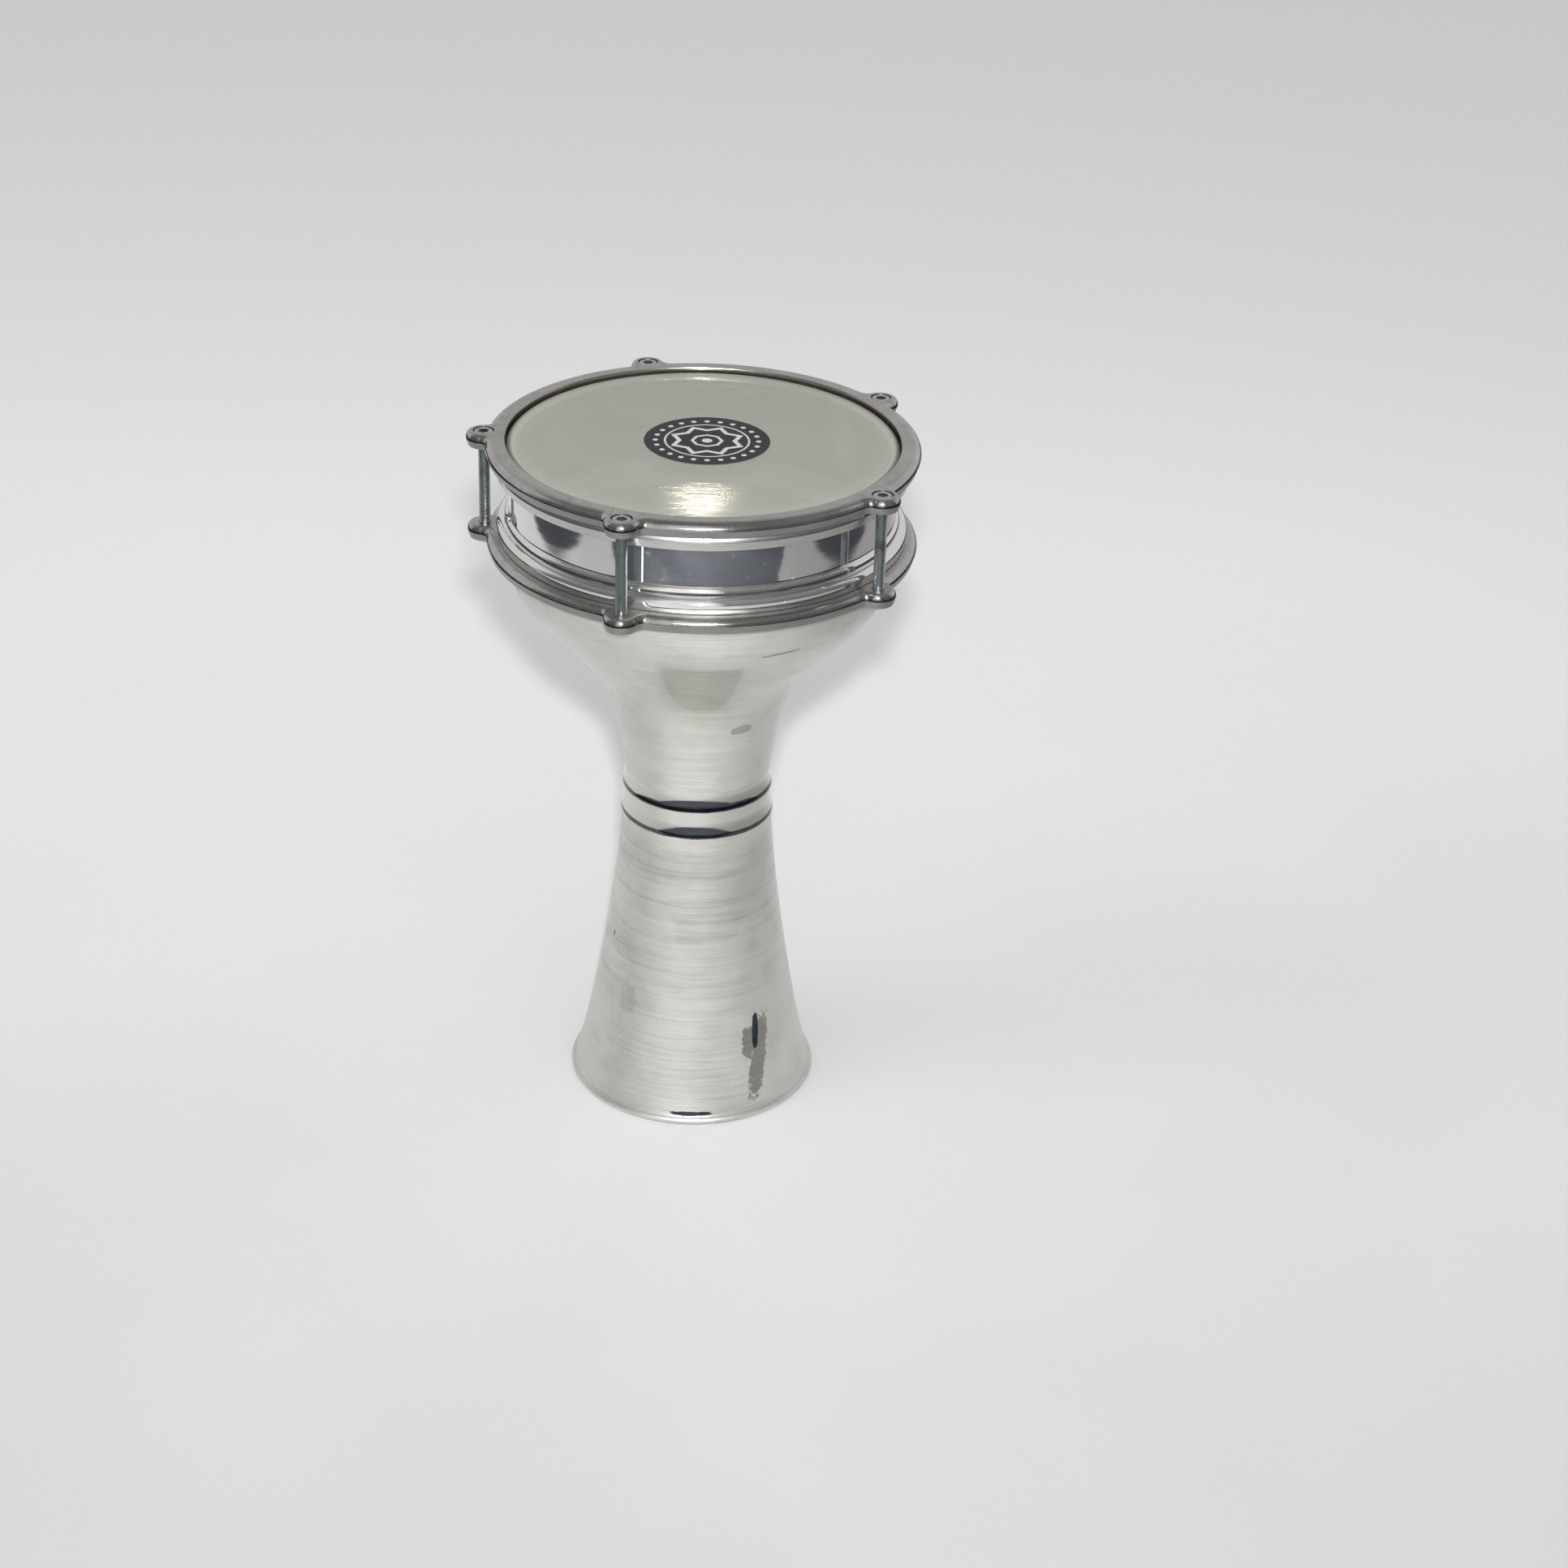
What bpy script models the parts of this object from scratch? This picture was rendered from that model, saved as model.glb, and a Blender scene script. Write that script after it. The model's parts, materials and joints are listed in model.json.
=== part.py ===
"""Goblet drum of polished aluminium with a screw-tensioned synthetic head.

Metres, +Z up. The origin is the middle of the foot's rim, on the ground, and +Z is the axis that
the whole drum is turned about. The shell stands on its foot. A cast lower ring hangs under the
shell's seat bead and takes five screws, which draw the cast top hoop down on the head.
"""

import math

import bmesh
import bpy
from mathutils import Matrix, Vector
from mathutils.geometry import interpolate_bezier

# Gap kept between pieces that touch on the real drum
SEAT_GAP = 0.0003

# Shell: foot, from the ground to the waist
SHELL_WALL = 0.0025
FOOT_RADIUS = 0.0686
FOOT_LIP_ROUND = 0.002
FOOT_LIP_REACH = 0.0017
FOOT_SLOPE = math.radians(23.7)
FOOT_FLARE_LENGTH = 0.0193
FOOT_TAPER_LENGTH = 0.055
FOOT_HEIGHT = 0.190

# Shell: waist and the two beads turned round the neck just under it
WAIST_RADIUS = 0.0395
NECK_BEAD_RISE = 0.0010
NECK_BEAD_DIP = 0.0006
NECK_BEAD_SHOULDER = 0.0081
NECK_BEAD_PITCH = 0.0157
NECK_BEAD_FADE = 0.014

# Shell: bowl, from the waist to the seat that the lower ring bears against
BOWL_HEIGHT = 0.1403
BOWL_STEEP_RADIUS = 0.0565
BOWL_STEEP_RISE = 0.0626
BOWL_STEEP_SLOPE = math.radians(38.6)
BOWL_WAIST_LENGTH = 0.0031
BOWL_LOWER_LENGTH = 0.0205
BOWL_UPPER_LENGTH = 0.0472
BOWL_SHOULDER_LENGTH = 0.0368

# Shell: seat bead and collar, up to the bearing edge under the head
COLLAR_RADIUS = 0.1010
COLLAR_HEIGHT = 0.0387
SHOULDER_REACH = 0.0031
SEAT_BEAD_REACH = 0.0065
SEAT_BEAD_HEIGHT = 0.0090
SEAT_BEAD_ROUND = 0.0035
SEAT_BEAD_FILLET = 0.0030
SEAT_BEAD_CHAMFER = 0.0005
INNER_BLEND_DROP = 0.0054
INNER_BLEND_HEIGHT = 0.0145

# Head: film, and the channel hoop that its edge is bonded into
FILM_THICKNESS = 0.0004
FLESH_HOOP_DROP = 0.0060
FLESH_HOOP_HEIGHT = 0.0083
FLESH_HOOP_WIDTH = 0.0060
FLESH_HOOP_WALL = 0.0012
FLESH_HOOP_TOP_ROUND = 0.0022
FLESH_HOOP_LOW_ROUND = 0.0015
FILM_EDGE_CLEARANCE = 0.0008

# Castings: top hoop and lower ring, which share one outline
HOOP_OVERHANG = 0.0048
HOOP_THICKNESS = 0.0080
HOOP_BORE_CLEARANCE = 0.0007
RING_THICKNESS = 0.0083
CASTING_TOP_ROUND = 0.0034
CASTING_LOW_ROUND = 0.0009
EAR_COUNT = 5
EAR_WALL = 0.0038
EAR_FILLET = 0.0040
BOLT_CIRCLE_REACH = 0.0010
FIRST_EAR_ANGLE = math.radians(180)

# Tension screws: M6, low head with a hexagon socket
SCREW_RADIUS = 0.0030
SCREW_HEAD_RADIUS = 0.0050
SCREW_HEAD_HEIGHT = 0.0040
SCREW_HEAD_CHAMFER = 0.0004
SCREW_TIP_CHAMFER = 0.0006
SOCKET_WIDTH = 0.0050
SOCKET_DEPTH = 0.0024
HEAD_SINK = 0.0003
HEAD_SIDE_CLEARANCE = 0.0005
THREAD_ENGAGEMENT = 0.0083

# Points of a profile that lie closer than this are one point
POINT_MERGE = 0.00001

# Facets: round a full turn, and along each part of a casting's outline
TURNED_STEPS = 60
SCREW_STEPS = 16
HOLE_STEPS = 20
EAR_STEPS = 8
EAR_FILLET_STEPS = 2
RIM_STEPS = 8
SHARP_ANGLE = math.radians(50)

# Heights that follow from the stack of pieces
WAIST_HEIGHT = FOOT_HEIGHT
SEAT_HEIGHT = WAIST_HEIGHT + BOWL_HEIGHT
BEAD_TOP = SEAT_HEIGHT + SEAT_BEAD_HEIGHT
BEARING_HEIGHT = BEAD_TOP + COLLAR_HEIGHT
HEAD_TOP = BEARING_HEIGHT + SEAT_GAP + FILM_THICKNESS
FLESH_HOOP_TOP = HEAD_TOP - FLESH_HOOP_DROP
FLESH_HOOP_BOTTOM = FLESH_HOOP_TOP - FLESH_HOOP_HEIGHT
HOOP_BOTTOM = FLESH_HOOP_TOP + SEAT_GAP
HOOP_TOP = HOOP_BOTTOM + HOOP_THICKNESS
RING_TOP = SEAT_HEIGHT - SEAT_GAP
RING_BOTTOM = RING_TOP - RING_THICKNESS
SCREW_TOP = HOOP_TOP - HEAD_SINK
SCREW_SEAT = SCREW_TOP - SCREW_HEAD_HEIGHT
SCREW_TIP = RING_TOP - THREAD_ENGAGEMENT

# Radii that follow from the same pieces, from the collar outwards
SHOULDER_RADIUS = COLLAR_RADIUS + SHOULDER_REACH
SEAT_BEAD_RADIUS = COLLAR_RADIUS + SEAT_BEAD_REACH
COLLAR_INNER_RADIUS = COLLAR_RADIUS - SHELL_WALL
BEARING_ROUND = SHELL_WALL / 2
FILM_INNER_RADIUS = COLLAR_RADIUS + SEAT_GAP
FILM_OUTER_RADIUS = FILM_INNER_RADIUS + FILM_THICKNESS
FLESH_HOOP_INNER_RADIUS = FILM_OUTER_RADIUS + SEAT_GAP
FLESH_HOOP_RADIUS = FLESH_HOOP_INNER_RADIUS + FLESH_HOOP_WIDTH
CHANNEL_RADIUS = FLESH_HOOP_RADIUS - FLESH_HOOP_WALL
HOOP_BORE_RADIUS = FILM_OUTER_RADIUS + HOOP_BORE_CLEARANCE
RING_BORE_RADIUS = SHOULDER_RADIUS + SEAT_GAP
CASTING_RADIUS = FLESH_HOOP_RADIUS + HOOP_OVERHANG
BOLT_CIRCLE_RADIUS = CASTING_RADIUS + BOLT_CIRCLE_REACH
SCREW_HOLE_RADIUS = SCREW_RADIUS + SEAT_GAP
COUNTERBORE_RADIUS = SCREW_HEAD_RADIUS + HEAD_SIDE_CLEARANCE
EAR_RADIUS = COUNTERBORE_RADIUS + EAR_WALL
EAR_ANGLES = [FIRST_EAR_ANGLE + k * math.tau / EAR_COUNT for k in range(EAR_COUNT)]

for old_object in list(bpy.data.objects):
    bpy.data.objects.remove(old_object, do_unlink=True)

parts = bpy.data.collections.new("goblet_drum")
cutters = bpy.data.collections.new("cutters")
cutters.hide_render = True
for collection in (parts, cutters):
    bpy.context.scene.collection.children.link(collection)


def material(name, colour, roughness, metallic):
    """A Principled material of one colour."""
    made = bpy.data.materials.new(name)
    made.use_nodes = True
    shader = made.node_tree.nodes["Principled BSDF"]
    shader.inputs["Base Color"].default_value = (*colour, 1.0)
    shader.inputs["Roughness"].default_value = roughness
    shader.inputs["Metallic"].default_value = metallic
    return made


def evaluated_mesh(piece):
    """The piece's mesh with its modifiers applied, shaded smooth except across sharp corners."""
    graph = bpy.context.evaluated_depsgraph_get()
    graph.update()
    mesh = bpy.data.meshes.new_from_object(piece.evaluated_get(graph))
    mesh.shade_smooth()
    mesh.set_sharp_from_angle(angle=SHARP_ANGLE)
    return mesh


def settle(piece):
    """Applies the piece's modifiers to its mesh."""
    mesh = evaluated_mesh(piece)
    piece.modifiers.clear()
    piece.data = mesh


def add_part(name, mesh, finish, location=(0, 0, 0)):
    """Puts a mesh in the drum's collection as one named piece."""
    mesh.materials.clear()
    mesh.materials.append(finish)
    piece = bpy.data.objects.new(name, mesh)
    piece.location = location
    parts.objects.link(piece)
    return piece


def arc(centre, radius, start, end, steps):
    """Points (radius from the axis, height) along an arc in a profile, angles in degrees."""
    angles = [math.radians(start + (end - start) * k / steps) for k in range(steps + 1)]
    return [(centre[0] + radius * math.cos(a), centre[1] + radius * math.sin(a)) for a in angles]


def turned(name, profile, finish, closed=True, steps=TURNED_STEPS):
    """A solid turned about Z from a profile that runs down its outer side, top to bottom.

    A closed profile is a ring's section. An open one starts and ends on the axis.
    """
    mesh = bpy.data.meshes.new(name)
    points = [(r, 0.0, z) for r, z in profile]
    edges = [(k, k + 1) for k in range(len(points) - 1)]
    if closed:
        edges.append((len(points) - 1, 0))
    mesh.from_pydata(points, edges, [])
    piece = add_part(name, mesh, finish)
    spin = piece.modifiers.new("turn", "SCREW")
    spin.axis = "Z"
    spin.angle = math.tau
    spin.steps = steps
    spin.render_steps = steps
    spin.use_merge_vertices = True
    spin.merge_threshold = POINT_MERGE
    settle(piece)
    return piece


# Shell

def curve_points(start, start_handle, end_handle, end, count=60):
    """Dense points of one smooth curve between two (radius, height) knots."""
    knots = [Vector((r, z, 0)) for r, z in (start, start_handle, end_handle, end)]
    return [(p.x, p.y) for p in interpolate_bezier(*knots, count)]


def drum_outline():
    """The plain outer line of the drum's body from the ground side up to the shoulder, without
    beads, as dense (radius, height) points."""
    lip_height = 2 * FOOT_LIP_ROUND
    foot = (FOOT_RADIUS - FOOT_LIP_REACH, lip_height)
    foot_handle = (
        foot[0] - FOOT_FLARE_LENGTH * math.sin(FOOT_SLOPE),
        foot[1] + FOOT_FLARE_LENGTH * math.cos(FOOT_SLOPE),
    )
    waist = (WAIST_RADIUS, WAIST_HEIGHT)
    below_waist = (WAIST_RADIUS, WAIST_HEIGHT - FOOT_TAPER_LENGTH)
    above_waist = (WAIST_RADIUS, WAIST_HEIGHT + BOWL_WAIST_LENGTH)
    steep = (BOWL_STEEP_RADIUS, WAIST_HEIGHT + BOWL_STEEP_RISE)
    run = (math.sin(BOWL_STEEP_SLOPE), math.cos(BOWL_STEEP_SLOPE))
    below_steep = (steep[0] - BOWL_LOWER_LENGTH * run[0], steep[1] - BOWL_LOWER_LENGTH * run[1])
    above_steep = (steep[0] + BOWL_UPPER_LENGTH * run[0], steep[1] + BOWL_UPPER_LENGTH * run[1])
    shoulder = (SHOULDER_RADIUS, SEAT_HEIGHT)
    below_shoulder = (SHOULDER_RADIUS, SEAT_HEIGHT - BOWL_SHOULDER_LENGTH)
    return (
        curve_points(foot, foot_handle, below_waist, waist)
        + curve_points(waist, above_waist, below_steep, steep)[1:]
        + curve_points(steep, above_steep, below_shoulder, shoulder)[1:]
    )


OUTLINE = drum_outline()


def body_radius(height, outline=OUTLINE):
    """The plain outer radius of the body at a height."""
    for (r0, z0), (r1, z1) in zip(outline, outline[1:]):
        if z0 <= height <= z1:
            return r0 + (r1 - r0) * (height - z0) / (z1 - z0)
    return outline[0][0] if height < outline[0][1] else outline[-1][0]


def neck_bead_reach(depth):
    """How far the two neck beads stand out of the plain body at a depth below the waist.

    Each swells over its shoulder, steeply at first, and then falls back a little, and the lower
    one fades into the foot.
    """
    def swell(share, start):
        return start + (NECK_BEAD_RISE - start) * math.sin(share * math.pi / 2)

    trough = NECK_BEAD_RISE - NECK_BEAD_DIP
    crests = (NECK_BEAD_SHOULDER, NECK_BEAD_PITCH + NECK_BEAD_SHOULDER)
    if depth <= 0:
        return 0.0
    if depth <= crests[0]:
        return swell(depth / crests[0], 0.0)
    if depth <= NECK_BEAD_PITCH:
        fall = (depth - crests[0]) / (NECK_BEAD_PITCH - crests[0])
        return NECK_BEAD_RISE - NECK_BEAD_DIP * fall
    if depth <= crests[1]:
        return swell((depth - NECK_BEAD_PITCH) / NECK_BEAD_SHOULDER, trough)
    return NECK_BEAD_RISE * max(0.0, 1 - (depth - crests[1]) / NECK_BEAD_FADE)


def between(low, high, count):
    """Evenly spaced heights inside a span, from its top down, without its ends."""
    return [high - (high - low) * k / (count + 1) for k in range(1, count + 1)]


def shell_outside():
    """The shell's outer line, from the bearing edge down to the ground."""
    edge_centre = (COLLAR_RADIUS - BEARING_ROUND, BEARING_HEIGHT - BEARING_ROUND)
    line = arc(edge_centre, BEARING_ROUND, 180, 0, 4)
    fillet_centre = (COLLAR_RADIUS + SEAT_BEAD_FILLET, BEAD_TOP + SEAT_BEAD_FILLET)
    line += arc(fillet_centre, SEAT_BEAD_FILLET, 180, 270, 3)
    round_centre = (SEAT_BEAD_RADIUS - SEAT_BEAD_ROUND, BEAD_TOP - SEAT_BEAD_ROUND)
    crown = arc(round_centre, SEAT_BEAD_ROUND, 90, 0, 3)
    line += [point for point in crown if point[0] > line[-1][0] + POINT_MERGE]
    line.append((SEAT_BEAD_RADIUS, SEAT_HEIGHT + SEAT_BEAD_CHAMFER))
    line.append((SEAT_BEAD_RADIUS - SEAT_BEAD_CHAMFER, SEAT_HEIGHT))

    crest_one = WAIST_HEIGHT - NECK_BEAD_SHOULDER
    trough = WAIST_HEIGHT - NECK_BEAD_PITCH
    crest_two = trough - NECK_BEAD_SHOULDER
    faded = crest_two - NECK_BEAD_FADE
    lip_height = 2 * FOOT_LIP_ROUND
    heights = [SEAT_HEIGHT]
    heights += between(WAIST_HEIGHT, SEAT_HEIGHT, 11)
    heights += [WAIST_HEIGHT]
    heights += between(crest_one, WAIST_HEIGHT, 1)
    heights += [crest_one, trough]
    heights += between(crest_two, trough, 1)
    heights += [crest_two, faded]
    heights += between(lip_height, faded, 5)
    heights += [lip_height]
    line += [(body_radius(z) + neck_bead_reach(WAIST_HEIGHT - z), z) for z in heights]

    lip_centre = (FOOT_RADIUS - FOOT_LIP_ROUND, FOOT_LIP_ROUND)
    line += arc(lip_centre, FOOT_LIP_ROUND, 60, -90, 4)
    return line


def shell_inside(stride=13):
    """The shell's inner line, from the ground up to the bearing edge: the plain outline moved in
    by the wall, which doesn't follow the beads. It takes one outline point in each stride."""
    line = [(OUTLINE[0][0] - SHELL_WALL, 0.0)]
    inner_points = zip(OUTLINE[:-2:stride], OUTLINE[1:-1:stride], OUTLINE[2::stride])
    for before, here, after in inner_points:
        run = Vector((after[0] - before[0], after[1] - before[1])).normalized()
        line.append((here[0] - SHELL_WALL * run.y, here[1] + SHELL_WALL * run.x))
    blend_start = SEAT_HEIGHT - INNER_BLEND_DROP
    line = [point for point in line if point[1] < blend_start - SHELL_WALL]
    line.append((body_radius(blend_start) - SHELL_WALL, blend_start))
    line.append((COLLAR_INNER_RADIUS, blend_start + INNER_BLEND_HEIGHT))
    return line


polished = material("polished_shell", (0.74, 0.73, 0.71), 0.22, 1.0)
cast = material("cast_hoops", (0.60, 0.59, 0.58), 0.34, 1.0)
rolled = material("rolled_channel", (0.70, 0.69, 0.67), 0.30, 1.0)
film = material("head_film", (0.50, 0.53, 0.48), 0.35, 0.0)
resin = material("bonding_resin", (0.62, 0.55, 0.38), 0.50, 0.0)
zinc = material("zinc_plating", (0.56, 0.60, 0.63), 0.35, 1.0)

turned("shell", shell_outside() + shell_inside(), polished)


# Head: the channel hoop, the film over the bearing edge, and the resin that bonds them

def flesh_hoop_section():
    """The channel opens inwards. Its upper flange stops short of the film and its lower one
    reaches under the film's turned-out edge."""
    top_centre = (FLESH_HOOP_RADIUS - FLESH_HOOP_TOP_ROUND, FLESH_HOOP_TOP - FLESH_HOOP_TOP_ROUND)
    low_centre = (
        FLESH_HOOP_RADIUS - FLESH_HOOP_LOW_ROUND,
        FLESH_HOOP_BOTTOM + FLESH_HOOP_LOW_ROUND,
    )
    section = [(FLESH_HOOP_INNER_RADIUS, FLESH_HOOP_TOP)]
    section += arc(top_centre, FLESH_HOOP_TOP_ROUND, 90, 0, 3)
    section += arc(low_centre, FLESH_HOOP_LOW_ROUND, 0, -90, 2)
    section.append((FILM_INNER_RADIUS, FLESH_HOOP_BOTTOM))
    section.append((FILM_INNER_RADIUS, FLESH_HOOP_BOTTOM + FLESH_HOOP_WALL))
    section.append((CHANNEL_RADIUS, FLESH_HOOP_BOTTOM + FLESH_HOOP_WALL))
    section.append((CHANNEL_RADIUS, FLESH_HOOP_TOP - FLESH_HOOP_WALL))
    section.append((FLESH_HOOP_INNER_RADIUS, FLESH_HOOP_TOP - FLESH_HOOP_WALL))
    return section


film_edge_bottom = FLESH_HOOP_BOTTOM + FLESH_HOOP_WALL + SEAT_GAP
film_edge_top = film_edge_bottom + FILM_THICKNESS
film_edge_radius = CHANNEL_RADIUS - FILM_EDGE_CLEARANCE


def film_section():
    """The film lies over the bearing edge, runs down the collar and turns out into the channel."""
    centre = (COLLAR_RADIUS - BEARING_ROUND, BEARING_HEIGHT - BEARING_ROUND)
    inner_round = BEARING_ROUND + SEAT_GAP
    outer_round = inner_round + FILM_THICKNESS
    section = [(0.0, HEAD_TOP)]
    section += arc(centre, outer_round, 90, 0, 3)
    section.append((FILM_OUTER_RADIUS, film_edge_top))
    section.append((film_edge_radius, film_edge_top))
    section.append((film_edge_radius, film_edge_bottom))
    section.append((FILM_INNER_RADIUS, film_edge_bottom))
    section += arc(centre, inner_round, 0, 90, 3)
    section.append((0.0, HEAD_TOP - FILM_THICKNESS))
    return section


resin_top = FLESH_HOOP_TOP - FLESH_HOOP_WALL - SEAT_GAP
resin_bottom = film_edge_top + SEAT_GAP
resin_section = [
    (FLESH_HOOP_INNER_RADIUS, resin_top),
    (CHANNEL_RADIUS - SEAT_GAP, resin_top),
    (CHANNEL_RADIUS - SEAT_GAP, resin_bottom),
    (FLESH_HOOP_INNER_RADIUS, resin_bottom),
]

turned("flesh_hoop", flesh_hoop_section(), rolled)
turned("head_film", film_section(), film, closed=False)
turned("head_resin", resin_section, resin)


# Castings: one outline with an ear for each screw, rounded edges, and a bore

def ear_outline():
    """The castings' outline, anticlockwise: an arc of the ring, a hollow fillet, the ear's round
    end and the fillet back, once for each ear."""
    fillet_reach = CASTING_RADIUS + EAR_FILLET
    ear_reach = EAR_RADIUS + EAR_FILLET
    bolt = BOLT_CIRCLE_RADIUS
    at_axis = math.acos((bolt**2 + fillet_reach**2 - ear_reach**2) / (2 * bolt * fillet_reach))
    at_ear = math.acos((bolt**2 + ear_reach**2 - fillet_reach**2) / (2 * bolt * ear_reach))

    def sweep(place, reach, radius, start, end, steps):
        """Points of an arc about a centre given by angle and reach, without the last one."""
        centre = (reach * math.cos(place), reach * math.sin(place))
        angles = [start + (end - start) * k / steps for k in range(steps)]
        return [
            (centre[0] + radius * math.cos(a), centre[1] + radius * math.sin(a)) for a in angles
        ]

    half_turn = math.pi - at_ear
    points = []
    for ear in EAR_ANGLES:
        before = ear - at_axis
        after = ear + at_axis
        next_ear = ear + math.tau / EAR_COUNT
        points += sweep(
            before, fillet_reach, EAR_FILLET, before + math.pi, ear + at_ear, EAR_FILLET_STEPS
        )
        points += sweep(ear, bolt, EAR_RADIUS, ear - half_turn, ear + half_turn, EAR_STEPS)
        points += sweep(
            after, fillet_reach, EAR_FILLET, ear - at_ear, after - math.pi, EAR_FILLET_STEPS
        )
        points += sweep(0.0, 0.0, CASTING_RADIUS, after, next_ear - at_axis, RIM_STEPS)
    return points


def casting(name, bottom, thickness, bore_radius, finish):
    """A flat ring with ears: its top face is laid out and pressed down to thickness, and its
    outer edges and the bore's upper edge are rounded. The object's origin is on the drum's axis,
    at the casting's underside."""
    form = bmesh.new()
    weight = form.edges.layers.float.new("bevel_weight_edge")
    outer = [form.verts.new((x, y, thickness)) for x, y in ear_outline()]
    inner = []
    for vertex in outer:
        rim = vertex.co.xy.normalized() * bore_radius
        inner.append(form.verts.new((rim.x, rim.y, thickness)))
    count = len(outer)
    faces = []
    for k in range(count):
        after = (k + 1) % count
        faces.append(form.faces.new((outer[k], outer[after], inner[after], inner[k])))
    pressed = bmesh.ops.extrude_face_region(form, geom=faces)["geom"]
    lowered = [item for item in pressed if isinstance(item, bmesh.types.BMVert)]
    bmesh.ops.translate(form, verts=lowered, vec=(0, 0, -thickness))
    bmesh.ops.recalc_face_normals(form, faces=form.faces)
    between_rims = (bore_radius + CASTING_RADIUS) / 2
    for edge in form.edges:
        a, b = (v.co for v in edge.verts)
        if abs(a.z - b.z) > thickness / 2:
            continue
        is_top = a.z > thickness / 2
        if min(a.xy.length, b.xy.length) > between_rims:
            edge[weight] = 1.0 if is_top else CASTING_LOW_ROUND / CASTING_TOP_ROUND
        elif max(a.xy.length, b.xy.length) < between_rims and is_top:
            edge[weight] = CASTING_LOW_ROUND / CASTING_TOP_ROUND
    mesh = bpy.data.meshes.new(name)
    form.to_mesh(mesh)
    form.free()
    piece = add_part(name, mesh, finish, (0, 0, bottom))
    rounding = piece.modifiers.new("rounded_edges", "BEVEL")
    rounding.width = CASTING_TOP_ROUND
    rounding.segments = 2
    rounding.limit_method = "WEIGHT"
    rounding.loop_slide = False
    settle(piece)
    return piece


def drill(piece, name, radius, low, high):
    """Cuts a hole through each ear between two heights."""
    form = bmesh.new()
    for angle in EAR_ANGLES:
        place = Matrix.Translation(
            (
                BOLT_CIRCLE_RADIUS * math.cos(angle),
                BOLT_CIRCLE_RADIUS * math.sin(angle),
                (low + high) / 2,
            )
        )
        bmesh.ops.create_cone(
            form,
            cap_ends=True,
            segments=HOLE_STEPS,
            radius1=radius,
            radius2=radius,
            depth=high - low,
            matrix=place,
        )
    mesh = bpy.data.meshes.new(name)
    form.to_mesh(mesh)
    form.free()
    cutter = bpy.data.objects.new(name, mesh)
    cutter.hide_render = True
    cutter.display_type = "WIRE"
    cutters.objects.link(cutter)
    cut = piece.modifiers.new(name, "BOOLEAN")
    cut.operation = "DIFFERENCE"
    cut.solver = "EXACT"
    cut.object = cutter


lower_ring = casting("lower_ring", RING_BOTTOM, RING_THICKNESS, RING_BORE_RADIUS, cast)
top_hoop = casting("top_hoop", HOOP_BOTTOM, HOOP_THICKNESS, HOOP_BORE_RADIUS, cast)
drill(lower_ring, "tapped_holes", SCREW_HOLE_RADIUS, RING_BOTTOM - EAR_WALL, RING_TOP + EAR_WALL)
drill(top_hoop, "through_holes", SCREW_HOLE_RADIUS, HOOP_BOTTOM - EAR_WALL, HOOP_TOP + EAR_WALL)
drill(top_hoop, "counterbores", COUNTERBORE_RADIUS, SCREW_SEAT - SEAT_GAP, HOOP_TOP + EAR_WALL)


# Tension screws: five alike, each turning in its ear of the top hoop

def screw_mesh():
    """One screw, with its origin under its head on its own axis."""
    head_top = SCREW_HEAD_HEIGHT
    tip = SCREW_TIP - SCREW_SEAT
    profile = [
        (0.0, head_top),
        (SCREW_HEAD_RADIUS - SCREW_HEAD_CHAMFER, head_top),
        (SCREW_HEAD_RADIUS, head_top - SCREW_HEAD_CHAMFER),
        (SCREW_HEAD_RADIUS, 0.0),
        (SCREW_RADIUS, 0.0),
        (SCREW_RADIUS, tip + SCREW_TIP_CHAMFER),
        (SCREW_RADIUS - SCREW_TIP_CHAMFER, tip),
        (0.0, tip),
    ]
    blank = turned("screw_blank", profile, zinc, closed=False, steps=SCREW_STEPS)
    form = bmesh.new()
    bmesh.ops.create_cone(
        form,
        cap_ends=True,
        segments=6,
        radius1=SOCKET_WIDTH / 2 / math.cos(math.pi / 6),
        radius2=SOCKET_WIDTH / 2 / math.cos(math.pi / 6),
        depth=2 * SOCKET_DEPTH,
        matrix=Matrix.Translation((0, 0, head_top)),
    )
    key_mesh = bpy.data.meshes.new("hexagon_socket")
    form.to_mesh(key_mesh)
    form.free()
    key = bpy.data.objects.new("hexagon_socket", key_mesh)
    key.hide_render = True
    key.display_type = "WIRE"
    cutters.objects.link(key)
    cut = blank.modifiers.new("socket", "BOOLEAN")
    cut.operation = "DIFFERENCE"
    cut.solver = "EXACT"
    cut.object = key
    mesh = evaluated_mesh(blank)
    bpy.data.objects.remove(blank)
    bpy.data.objects.remove(key)
    return mesh


shared_screw = screw_mesh()
for number, angle in enumerate(EAR_ANGLES, start=1):
    place = (
        BOLT_CIRCLE_RADIUS * math.cos(angle),
        BOLT_CIRCLE_RADIUS * math.sin(angle),
        SCREW_SEAT,
    )
    screw = add_part(f"tension_screw_{number}", shared_screw, zinc, place)
    screw.parent = top_hoop
    screw.matrix_parent_inverse = Matrix.Translation((0, 0, HOOP_BOTTOM)).inverted()
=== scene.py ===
"""The looks of a polished aluminium goblet drum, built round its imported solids.

Metres, +Z up, with the drum's axis on Z and its foot on the ground at zero. The sections follow
the drum as it is put together: shell, lower ring, flesh hoop, head film, head resin, top hoop and
screws. The paper sweep that it stands on, the light and the camera come last.
"""

import json
import math

import bmesh
import bpy
from mathutils import Matrix, Vector
from mathutils.geometry import interpolate_bezier

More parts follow.
